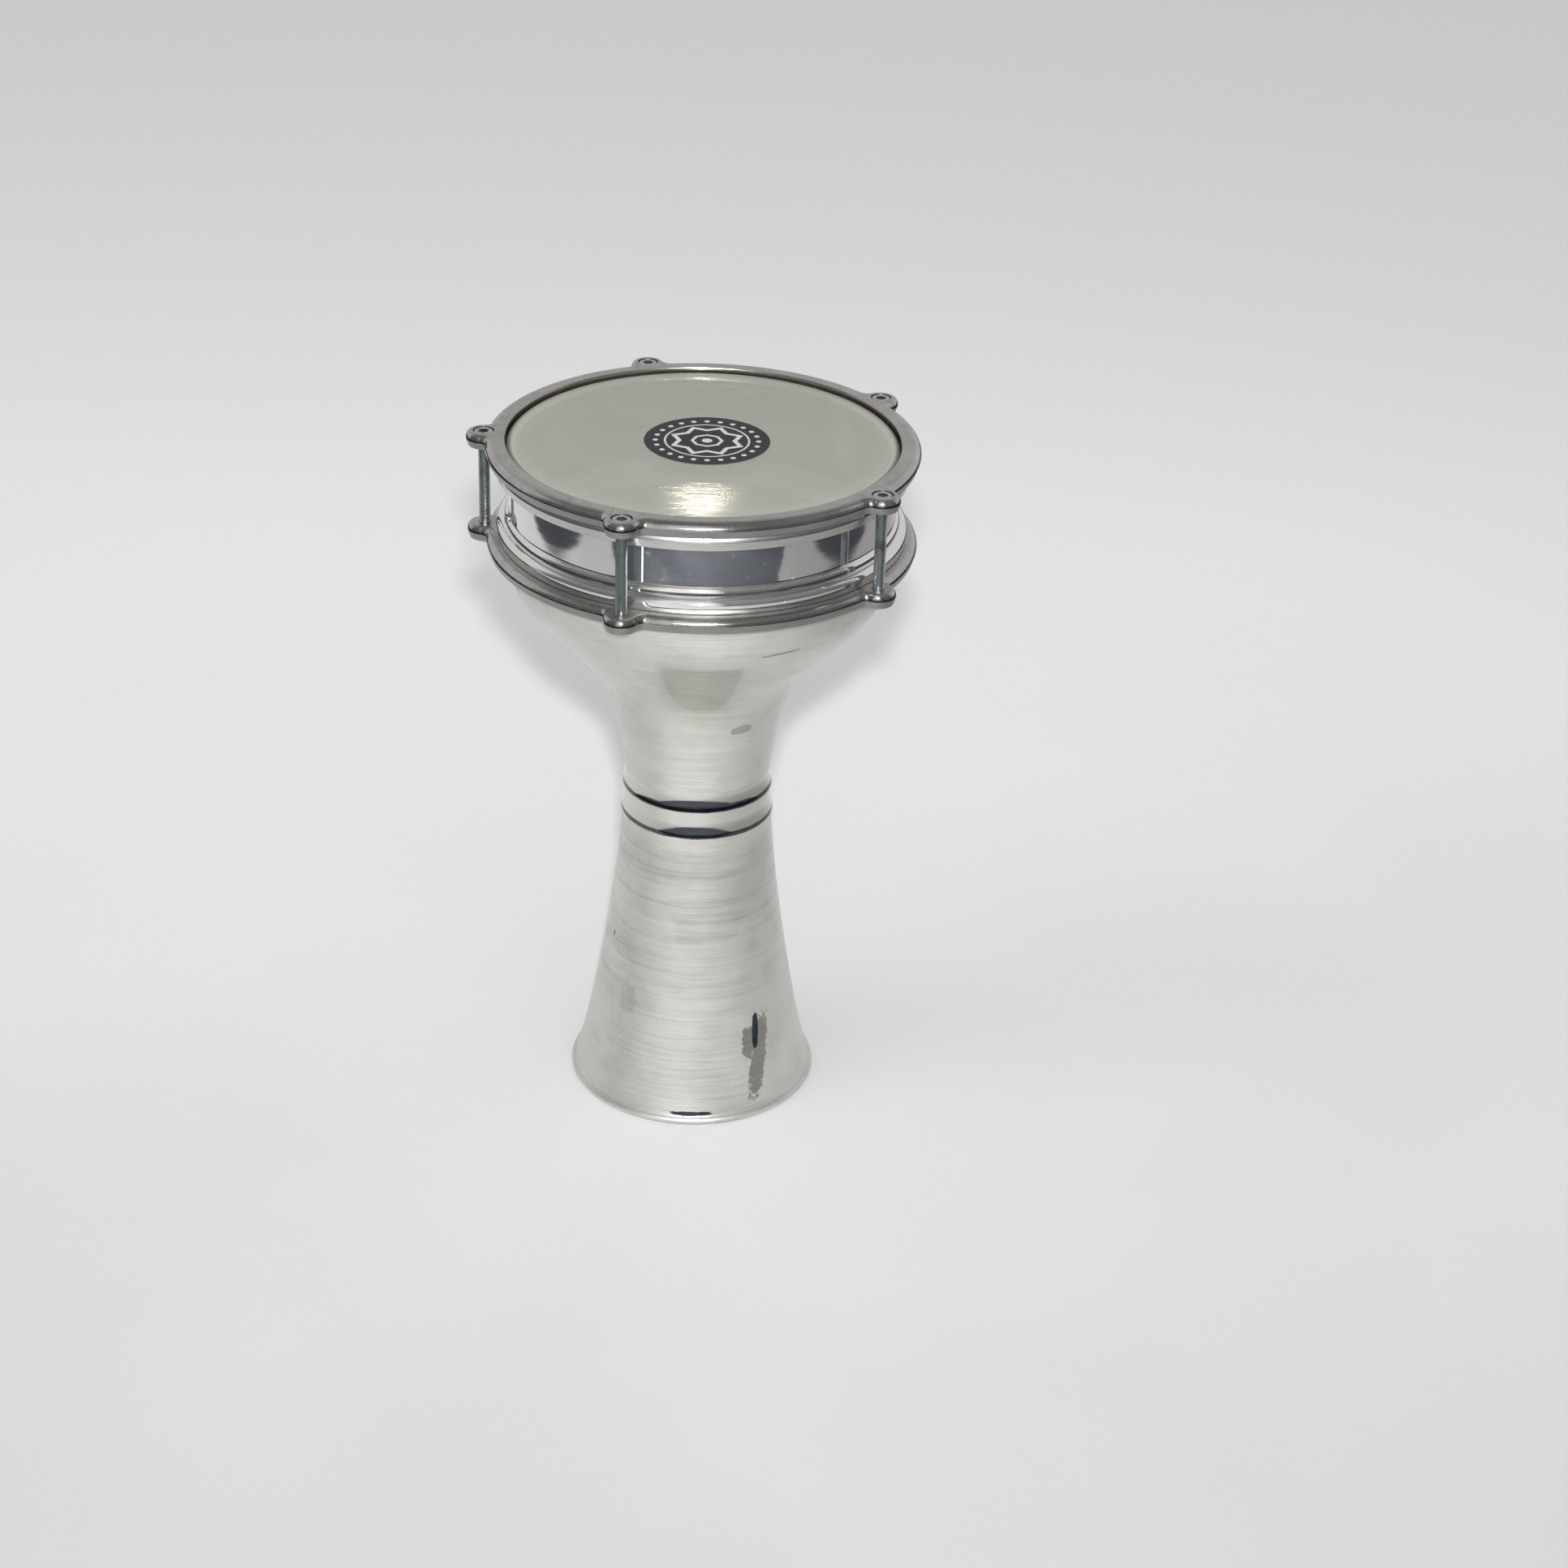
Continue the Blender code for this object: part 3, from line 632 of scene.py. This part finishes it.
def cast_aluminium(name, top):
    """Cast aluminium: satin on the flat top, buffed on the rolled edge below it, and darker down
    the side, with a fine grain, pits and cloudy handling marks."""
    made, shader, place = finish(name, Metallic=1.0)
    height = place.parts()[2]
    flat = height.step(top - 0.0007, top - 0.0001)
    grain = place.noise(2600.0, 3.0, 0.6)
    brushed = place.stretched(300.0, 300.0, 2000.0).noise(1.0, 3.0, 0.6)
    clouds = place.noise(70.0, 4.0, 0.6)
    pits = place.noise(1100.0, 2.0, 0.5).step(0.66, 0.74)
    tone = clouds.between(0.0, 0.8) + (brushed - 0.5) * 0.6
    satin = tone.blend((0.47, 0.465, 0.445, 1), (0.25, 0.245, 0.23, 1))
    buffed = clouds.blend((0.56, 0.555, 0.54, 1), (0.30, 0.295, 0.28, 1))
    colour = flat.blend(buffed, satin)
    colour = (pits * 0.5).blend(colour, (0.16, 0.15, 0.14, 1))
    side = 1.0 - height.step(top - ROLL_DROP - 0.0003, top - ROLL_DROP)
    colour = (side * 0.55).blend(colour, (0.17, 0.165, 0.15, 1))
    matt = flat.maths("MAXIMUM", side)
    rough = matt.blend_value(clouds.between(0.07, 0.15), clouds.between(0.28, 0.42))
    coarse = (grain * flat.between(0.45, 1.0)).relief(0.00005)
    dents = (clouds + pits * -0.3).relief(0.00025, 1.0, coarse)
    feed(shader, Base_Color=colour, Roughness=rough, Normal=dents)
    return made


ring_low, ring_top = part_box("lower_ring")[0][2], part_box("lower_ring")[1][2]
lower_ring = casting("lower_casting", "lower_ring", RING_BORE)
bored(lower_ring, SCREW_HOLE, ring_low - DRILL_PAST, ring_top + DRILL_PAST)
lower_ring.data.materials.clear()
lower_ring.data.materials.append(cast_aluminium("lower_cast_aluminium", ring_top))
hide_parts("lower_ring")
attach(lower_ring, "drum")


# Flesh hoop. A channel of roll-formed aluminium, open towards the shell, that holds the head's
# edge. It is drawn bright along its length and shows fine draw lines and small dings.

FILM_INSIDE = COLLAR_RADIUS + 0.0003
FILM_THICKNESS = 0.0004
HOOP_WALL = 0.0012
HOOP_EASE = 0.0004
BROW_WIDTH = 0.0026
BROW_DROP = 0.0038
HOOP_LEAN = 0.0008
HOOP_CHIN = 0.0006

hoop_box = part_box("flesh_hoop")
HOOP_LOW, HOOP_HIGH, HOOP_OUT = hoop_box[0][2], hoop_box[1][2], hoop_box[1][0]
HOOP_IN = FILM_INSIDE + FILM_THICKNESS + 0.0003


def flesh_hoop_section():
    """The channel's section, with its edges eased and a wide round brow at its upper one."""
    channel = HOOP_OUT - HOOP_WALL
    ease = HOOP_EASE
    line = arc((HOOP_IN + ease, HOOP_HIGH - ease), ease, 180, 90, 4)
    brow_top = (HOOP_OUT - BROW_WIDTH, HOOP_HIGH)
    brow = (HOOP_OUT, HOOP_HIGH - BROW_DROP)
    chin = (HOOP_OUT - HOOP_LEAN - HOOP_CHIN, HOOP_LOW + HOOP_CHIN)
    line += straight(line[-1], brow_top)
    line += bend(
        brow_top,
        (HOOP_OUT - 0.0012, HOOP_HIGH),
        (HOOP_OUT - 0.0003, HOOP_HIGH - 0.0018),
        brow,
        12,
    )
    line += straight(brow, (HOOP_OUT - HOOP_LEAN, chin[1]), 0.0001)
    line += arc(chin, HOOP_CHIN, 0, -90, 6)
    line += straight(line[-1], (FILM_INSIDE + ease, HOOP_LOW))
    line += arc((FILM_INSIDE + ease, HOOP_LOW + ease), ease, 270, 180, 4)
    line += arc((FILM_INSIDE + ease, HOOP_LOW + HOOP_WALL - ease), ease, 180, 90, 4)
    line += [(channel, HOOP_LOW + HOOP_WALL), (channel, HOOP_HIGH - HOOP_WALL)]
    line += arc((HOOP_IN + ease, HOOP_HIGH - HOOP_WALL + ease), ease, 270, 180, 4)
    return line


def drawn_aluminium():
    """Roll-formed aluminium with draw lines along the strip, slight waves and dull patches."""
    made, shader, place = finish("drawn_aluminium", Metallic=1.0)
    drawn = place.stretched(12.0, 12.0, 3200.0).noise(1.0, 2.0, 0.6)
    clouds = place.noise(60.0, 4.0, 0.6)
    dings = place.stretched(90.0, 90.0, 200.0).noise(1.0, 1.0)
    colour = clouds.blend((0.66, 0.65, 0.63, 1), (0.48, 0.475, 0.45, 1))
    feed(
        shader,
        Base_Color=colour,
        Roughness=clouds.between(0.20, 0.32),
        Normal=dings.relief(0.00018, 1.0, drawn.relief(0.00003)),
    )
    return made


flesh_hoop = turned("flesh_channel", flesh_hoop_section(), corner=20)
flesh_hoop.data.materials.append(drawn_aluminium())
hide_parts("flesh_hoop")
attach(flesh_hoop, "drum")


# Head film. A disc of translucent synthetic film, heat-formed over the bearing edge and down the
# collar, with its edge turned out into the flesh hoop. A printed disc marks the playing centre.

HEAD_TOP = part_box("head_film")[1][2]
FILM_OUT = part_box("head_film")[1][0]
FILM_COVER = 0.45
PRINT_CENTRE = (0.0017, 0.0020)
PRINT_RADIUS = 0.0330

# The print, in shares of its radius
PRINT_TURN = 0.35
STAR_SIDE = 0.40
WEAVE_SIDE = 0.215
PRINT_RING = 0.66
DOT_RING = 0.81
DOT_PITCH = 0.205
DOT_COUNT = 24


def film_section():
    """The film's section, from the axis out over the edge, and back underneath."""
    edge = WALL / 2
    centre = (COLLAR_RADIUS - edge, BEARING_HEIGHT - edge)
    inner = edge + 0.0003
    outer = inner + FILM_THICKNESS
    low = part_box("head_film")[0][2]
    top = [(0.0, HEAD_TOP)] + [(0.012 * k, HEAD_TOP) for k in range(1, 9)]
    line = top + arc(centre, outer, 90, 0, 10)
    line += straight(line[-1], (FILM_INSIDE + FILM_THICKNESS, low + FILM_THICKNESS))
    line += [(FILM_INSIDE + FILM_THICKNESS, low + FILM_THICKNESS)]
    line += [(FILM_OUT, low + FILM_THICKNESS), (FILM_OUT, low), (FILM_INSIDE, low)]
    line += straight(line[-1], (FILM_INSIDE, centre[1]))
    line += arc(centre, inner, 0, 90, 10)
    line += [(r, z - FILM_THICKNESS) for r, z in reversed(top)]
    return line


def head_finish():
    """Foggy grey-green film with faint rubbed rings, a paler ring inside the rim that is a painted
    highlight, hand grime and painted shade at the rim, and the printed disc: a pale eight-pointed
    star inside a ring of dots."""
    made, shader, place = finish("head_film", Metallic=0.0, IOR=1.5, Specular_IOR_Level=0.14)
    x, y, _ = place.parts()
    radius = (x * x + y * y).maths("SQRT")
    fog = place.noise(22.0, 4.0, 0.6)
    rub = place.stretched(30.0, 90.0, 30.0).noise(1.0, 3.0, 0.6)
    milky = fog.blend((0.31, 0.33, 0.29, 1), (0.37, 0.38, 0.335, 1))
    milky = (rub.step(0.55, 0.85) * 0.30).blend(milky, (0.42, 0.43, 0.39, 1))
    # A dark ring over the bearing edge, where the film meets the hoop: hand grime and painted
    # shade.
    rim_grime_and_shade = radius.step(0.0985, 0.1004) * 0.85
    # A paler ring just inside the rim is a painted highlight.
    milky = (radius.step(0.086, 0.097) * 0.30).blend(milky, (0.44, 0.455, 0.41, 1))
    milky = rim_grime_and_shade.blend(milky, (0.09, 0.07, 0.05, 1))

    across, along = x - PRINT_CENTRE[0], y - PRINT_CENTRE[1]
    reach = (across * across + along * along).maths("SQRT") / PRINT_RADIUS
    turn = along.maths("ARCTAN2", across) + PRINT_TURN
    printed = 1.0 - reach.step(0.985, 1.0)

    def square(tilt):
        """How far out a point is towards the sides of a square turned by an angle."""
        folded = (turn + tilt).maths("PINGPONG", math.pi / 4)
        return reach * folded.maths("COSINE")

    def band(value, centre, half):
        """A thin line where a value is near a centre."""
        off = (value - centre).maths("ABSOLUTE")
        return 1.0 - off.step(half - 0.006, half + 0.006)

    first, second = square(0.0), square(math.pi / 4)
    star = first.maths("MINIMUM", second)
    outline = band(star, STAR_SIDE, 0.035)
    weave = band(first.maths("MAXIMUM", second), WEAVE_SIDE, 0.025)
    centre_dot = 1.0 - reach.step(0.075, 0.090)
    ring = band(reach, PRINT_RING, 0.016)
    sideways = ((turn * (DOT_COUNT / math.tau)).maths("FRACT") - 0.5) * DOT_PITCH
    outward = reach - DOT_RING
    dots = 1.0 - (sideways * sideways + outward * outward).maths("SQRT").step(0.036, 0.048)
    pale = outline.maths("MAXIMUM", weave).maths("MAXIMUM", centre_dot)
    pale = pale.maths("MAXIMUM", ring).maths("MAXIMUM", dots) * printed
    worn = place.noise(700.0, 3.0, 0.7).step(0.64, 0.74) * 0.35
    ink = pale.blend((0.006, 0.007, 0.008, 1), (0.36, 0.37, 0.34, 1))
    ink = (worn * 0.5).blend(ink, (0.16, 0.17, 0.155, 1))
    colour = printed.blend(milky, ink)

    rings = radius.node(
        "ShaderNodeTexNoise",
        {"noise_dimensions": "1D"},
        {"W": radius * 5200.0, "Scale": 1.0, "Detail": 1.0},
        "Fac",
    )
    grain = place.noise(3000.0, 2.0, 0.6)
    normal = grain.relief(0.000008, 1.0, rings.relief(0.000010))
    rough = fog.between(0.24, 0.36) + printed * 0.06 + rim_grime_and_shade * 0.2
    cover = printed.maths("MAXIMUM", rim_grime_and_shade).between(FILM_COVER, 1.0)
    feed(shader, Base_Color=colour, Roughness=rough, Normal=normal, Alpha=cover)
    return made


head_film = turned("synthetic_head", film_section(), ring=False)
head_film.data.materials.append(head_finish())
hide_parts("head_film")
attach(head_film, "drum")


# Head resin. Amber resin poured into the channel, which locks the film's turned edge. Only a thin
# line of it can be seen between the hoop's flange and the film.

def poured_resin():
    """Cured amber resin with trapped bubbles."""
    made, shader, place = finish("poured_resin", Metallic=0.0, Coat_Weight=0.3)
    bubbles = place.node("ShaderNodeTexVoronoi", None, {"Vector": place, "Scale": 900.0}, 0)
    clouds = place.noise(120.0, 3.0)
    colour = clouds.blend((0.55, 0.43, 0.22, 1), (0.36, 0.26, 0.11, 1))
    feed(
        shader,
        Base_Color=colour,
        Roughness=clouds.between(0.25, 0.5),
        Normal=bubbles.relief(0.0001, 0.5),
    )
    return made


resin = frame["nodes"]["head_resin"]
resin.data.materials.clear()
resin.data.materials.append(poured_resin())


# Top hoop. The twin of the lower ring, with a narrower bore and with counterbored ears for the
# screws' heads. The screws pull it down on the flesh hoop, which stretches the head.

HOOP_BORE = 0.1024
COUNTERBORE = 0.0055
SCREW_SINK = 0.0003
HEAD_HEIGHT = 0.0040
HEAD_GAP = 0.0003

hoop_low, hoop_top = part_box("top_hoop")[0][2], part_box("top_hoop")[1][2]
counterbore_floor = hoop_top - SCREW_SINK - HEAD_HEIGHT - HEAD_GAP
top_hoop = casting("upper_casting", "top_hoop", HOOP_BORE)
bored(top_hoop, COUNTERBORE, counterbore_floor, hoop_top + DRILL_PAST)
bored(top_hoop, SCREW_HOLE, hoop_low - DRILL_PAST, hoop_top + DRILL_PAST)
top_hoop.data.materials.clear()
top_hoop.data.materials.append(cast_aluminium("upper_cast_aluminium", hoop_top))
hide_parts("top_hoop")
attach(top_hoop, "hoop")


# Tension screws. Five zinc-plated M6 machine screws with low heads and hexagon sockets, threaded
# all along. They go down through the top hoop's ears into the tapped ears of the lower ring.

PITCH = 0.0010
THREAD_DEPTH = 0.00054
SCREW_RADIUS = 0.0030
HEAD_RADIUS = 0.0050
HEAD_ROUND = 0.0005
SOCKET_RADIUS = 0.0025 / math.cos(math.pi / 6)
SOCKET_DEPTH = 0.0024
SCREW_CORNER = 50
THREAD_STEPS = 24

# The thread over one pitch: how far down it, and how deep, from 0 at its crest to 1 at its root
THREAD_SECTION = ((0.0, 1.0), (0.08, 1.0), (0.44, 0.0), (0.56, 0.0), (0.92, 1.0))


def threaded_shank(form, top, tip):
    """Adds a helical thread between two heights. One line of its section is swept round and
    down by one pitch a turn, so the turns join into one helix, and both ends are closed."""
    turns = int((top - tip) / PITCH) - 1
    start = top - PITCH
    line = []
    for turn in range(turns):
        for share, depth in THREAD_SECTION:
            height = start - (turn + share) * PITCH
            ease = min(1.0, (turn + share) / 1.5, (turns - turn - share) / 1.2)
            radius = SCREW_RADIUS - THREAD_DEPTH * (1 - (1 - depth) * ease)
            line.append(form.verts.new((radius, 0, height)))
    line.append(form.verts.new((SCREW_RADIUS - THREAD_DEPTH, 0, start - turns * PITCH)))
    edges = [form.edges.new(pair) for pair in zip(line, line[1:])]
    bmesh.ops.spin(
        form,
        geom=line + edges,
        cent=(0, 0, 0),
        axis=(0, 0, 1),
        dvec=(0, 0, PITCH / THREAD_STEPS),
        angle=math.tau,
        steps=THREAD_STEPS,
        space=Matrix(),
        use_merge=False,
    )
    bmesh.ops.remove_doubles(form, verts=form.verts, dist=0.000002)
    open_edges = [edge for edge in form.edges if edge.is_boundary]
    bmesh.ops.holes_fill(form, edges=open_edges)
    bmesh.ops.recalc_face_normals(form, faces=form.faces)


def zinc_plate():
    """Bright zinc plate: bluish, slightly cloudy, with patches of dark grime."""
    made, shader, place = finish("zinc_plate", Metallic=1.0)
    clouds = place.noise(260.0, 4.0, 0.6)
    stains = place.noise(90.0, 3.0, 0.7).step(0.50, 0.72)
    colour = clouds.blend((0.50, 0.54, 0.55, 1), (0.30, 0.33, 0.335, 1))
    colour = (stains * 0.6).blend(colour, (0.17, 0.15, 0.125, 1))
    feed(
        shader,
        Base_Color=colour,
        Roughness=clouds.between(0.22, 0.40),
        Normal=place.noise(3500.0, 2.0).relief(0.000015),
    )
    return made


def tension_screw(name, node):
    """One screw where its solid is: a rounded head with its socket cut in, and the shank."""
    low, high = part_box(node)
    seat = high[2] - HEAD_HEIGHT
    form = bmesh.new()
    threaded_shank(form, seat + PITCH, low[2])
    shank = finished(form, name + "_shank", SCREW_CORNER)
    head = turned(
        name,
        [
            (0.0, high[2]),
            (HEAD_RADIUS - HEAD_ROUND, high[2]),
            *arc((HEAD_RADIUS - HEAD_ROUND, high[2] - HEAD_ROUND), HEAD_ROUND, 75, 0, 4),
            (HEAD_RADIUS, seat + 0.0003),
            (HEAD_RADIUS - 0.0002, seat),
            (SCREW_RADIUS, seat),
            (SCREW_RADIUS, seat - 0.0006),
            (SCREW_RADIUS - THREAD_DEPTH, seat - 0.0011),
            (0.0, seat - 0.0011),
        ],
        steps=48,
        ring=False,
    )
    key = bmesh.new()
    bmesh.ops.create_cone(
        key,
        cap_ends=True,
        segments=6,
        radius1=SOCKET_RADIUS,
        radius2=SOCKET_RADIUS,
        depth=2 * SOCKET_DEPTH,
        matrix=Matrix.Translation((0, 0, high[2])),
    )
    socket = finished(key, "socket_key", 30)
    cut = head.modifiers.new("socket", "BOOLEAN")
    cut.operation = "DIFFERENCE"
    cut.solver = "EXACT"
    cut.object = socket
    bpy.context.view_layer.update()
    graph = bpy.context.evaluated_depsgraph_get()
    whole = bmesh.new()
    whole.from_mesh(bpy.data.meshes.new_from_object(head.evaluated_get(graph)))
    whole.from_mesh(shank.data)
    for spare in (head, shank, socket):
        bpy.data.objects.remove(spare)
    middle = ((low[0] + high[0]) / 2, (low[1] + high[1]) / 2, 0)
    bmesh.ops.translate(whole, verts=whole.verts, vec=middle)
    return finished(whole, name, SCREW_CORNER)


zinc = zinc_plate()
for number in range(1, 6):
    node = f"tension_screw_{number}"
    screw = tension_screw(f"socket_screw_{number}", node)
    screw.data.materials.clear()
    screw.data.materials.append(zinc)
    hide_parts(node)
    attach(screw, f"screw_{number}")


# Paper sweep. White paper runs under the drum and away behind it. In what metal mirrors it ends a
# little in front of the drum and at its sides, and the dark room shows past its edges.

PAPER_HALF = 6.0
PAPER_FRONT = -0.60
PAPER_SIDE = 0.84
PAPER_EDGE = 0.01
PAPER_FAR_TONE = (0.665, 0.665, 0.67, 1)
PAPER_NEAR_TONE = (0.225, 0.232, 0.236, 1)
GLOW_PLACE = (-0.09, -0.36)
GLOW_RADIUS = 0.30

form = bmesh.new()
bmesh.ops.create_grid(form, x_segments=1, y_segments=1, size=PAPER_HALF)
paper = finished(form, "paper_sweep")
made, shader, place = finish("white_paper", Metallic=0.0, Roughness=0.9)
tree = made.node_tree
x, y, _ = place.parts()
clouds = place.noise(3.0, 4.0).between(-0.1, 0.1)
# The paper is painted darker towards the front: a painted shade that evens out the flash, which
# falls stronger there.
near = 1.0 - (y + clouds).step(-1.0, 0.9)
tone = near.blend(PAPER_FAR_TONE, PAPER_NEAR_TONE)

# What polished metal mirrors: the paper painted darker on the right, a painted shade, and paler
# where the flash falls, a painted pool of light
ray = Field(tree.nodes.new("ShaderNodeLightPath").outputs["Is Glossy Ray"])
across, along = (x - GLOW_PLACE[0]) / GLOW_RADIUS, (y - GLOW_PLACE[1]) / GLOW_RADIUS
glow = 1.0 - (across * across + along * along).maths("SQRT").step(0.35, 1.1)
tone = (ray * x.step(0.05, 0.60) * 0.7).blend(tone, (0.16, 0.16, 0.155, 1))
feed(shader, Base_Color=(ray * glow * 0.16).blend(tone, (1.0, 0.99, 0.97, 1)))
past_front = 1.0 - y.step(PAPER_FRONT - PAPER_EDGE, PAPER_FRONT + PAPER_EDGE)
past_side = x.maths("ABSOLUTE").step(PAPER_SIDE - PAPER_EDGE, PAPER_SIDE + PAPER_EDGE)
room = ray * past_front.maths("MAXIMUM", past_side)
dark = room.node("ShaderNodeBsdfDiffuse", None, {"Color": (0.03, 0.034, 0.045, 1)})
seen = room.node("ShaderNodeMixShader", None, {0: room, 1: Field(shader.outputs[0]), 2: dark})
tree.links.new(seen.socket, tree.nodes["Material Output"].inputs["Surface"])
paper.data.materials.append(made)


# Light and camera. The room gives an even level, and a flash close to the lens the highlights. A
# second lamp in the flash's place lights only the paper and throws the shadows behind, and a soft
# light comes from the left. The camera stands where the photograph's did.

ROOM_LEVEL = 0.80
ROOM_LOW = (0.16, 0.165, 0.18, 1)
ROOM_HIGH = (0.26, 0.26, 0.26, 1)
ROOM_WINDOW = (0.90, 0.90, 0.92, 1)
ROOM_WALL = (0.72, 0.72, 0.72, 1)
ROOM_SEEN = (0.72, 0.725, 0.73, 1)
FLASH_WATTS = 46.0
FLASH_SIZE = 0.05
FLASH_AIM = (0, 0, 0.25)
PAPER_FLASH_WATTS = 42.0
SOFT_WATTS = 9.0
SOFT_PLACE = (-1.5, -0.6, 1.7)
SOFT_AIM = (0, 0, 0.2)
CAMERA_PLACE = Vector((0.0546, -1.4977, 0.9815))
CAMERA_YAW = math.radians(-0.272)
CAMERA_PITCH = math.radians(28.15)
CAMERA_ROLL = math.radians(1.946)
LENS = 71.35

world = bpy.data.worlds.new("studio")
bpy.context.scene.world = world
world.use_nodes = True
tree = world.node_tree
background = tree.nodes["Background"]
direction = Field(tree.nodes.new("ShaderNodeTexCoord").outputs["Generated"])
rays = tree.nodes.new("ShaderNodeLightPath").outputs
dx, dy, dz = direction.parts()
turn = dx.maths("ARCTAN2", dy * -1.0)
wall = turn.maths("ABSOLUTE").step(1.5, 1.8) * (1.0 - dz.step(0.62, 0.80))
window = turn.step(-0.62, -0.35) * (1.0 - turn.step(0.15, 0.30)) * (1.0 - dz.step(0.92, 0.99))
room = window.blend(dz.step(0.25, 0.8).blend(ROOM_LOW, ROOM_HIGH), ROOM_WINDOW)
mirrored = wall.blend(room, ROOM_WALL)
level = Field(rays["Is Glossy Ray"]).blend((ROOM_LEVEL, ROOM_LEVEL, ROOM_LEVEL, 1), mirrored)
colour = Field(rays["Is Camera Ray"]).blend(level, ROOM_SEEN)
tree.links.new(colour.socket, background.inputs["Color"])

forward = Vector(
    (
        math.sin(CAMERA_YAW) * math.cos(CAMERA_PITCH),
        math.cos(CAMERA_YAW) * math.cos(CAMERA_PITCH),
        -math.sin(CAMERA_PITCH),
    )
)
level_right = Vector((math.cos(CAMERA_YAW), -math.sin(CAMERA_YAW), 0))
level_up = level_right.cross(forward)
right = math.cos(CAMERA_ROLL) * level_right + math.sin(CAMERA_ROLL) * level_up
up = -math.sin(CAMERA_ROLL) * level_right + math.cos(CAMERA_ROLL) * level_up
camera = bpy.data.objects.new("camera", bpy.data.cameras.new("camera"))
camera.data.sensor_width = 36.0
camera.data.lens = LENS
camera.data.clip_start = 0.01
facing = Matrix((right, up, -forward)).transposed().to_4x4()
camera.matrix_world = Matrix.Translation(CAMERA_PLACE) @ facing
bpy.context.scene.collection.objects.link(camera)
bpy.context.scene.camera = camera


def lamp(name, place, target, size, watts, shows_in_metal):
    """A square lamp that faces a target."""
    light = bpy.data.lights.new(name, "AREA")
    light.size = size
    light.energy = watts
    holder = bpy.data.objects.new(name, light)
    holder.location = place
    aim = Vector(target) - Vector(place)
    holder.rotation_euler = aim.to_track_quat("-Z", "Y").to_euler()
    holder.visible_glossy = shows_in_metal
    bpy.context.scene.collection.objects.link(holder)
    return holder


lit = bpy.data.collections.new("lit_by_flash")
for piece in bpy.context.scene.objects:
    if piece.type == "MESH" and piece != paper:
        lit.objects.link(piece)
flash_place = CAMERA_PLACE + right * 0.01 + up * 0.09
flash = lamp("flash", flash_place, FLASH_AIM, FLASH_SIZE, FLASH_WATTS, True)
flash.light_linking.receiver_collection = lit
shaded = bpy.data.collections.new("shaded_by_flash")
shaded.objects.link(paper)
paper_flash = lamp("flash_on_paper", flash_place, FLASH_AIM, FLASH_SIZE, PAPER_FLASH_WATTS, False)
paper_flash.light_linking.receiver_collection = shaded
lamp("soft_light", SOFT_PLACE, SOFT_AIM, 1.0, SOFT_WATTS, False)

bpy.context.scene.view_settings.view_transform = "Standard"
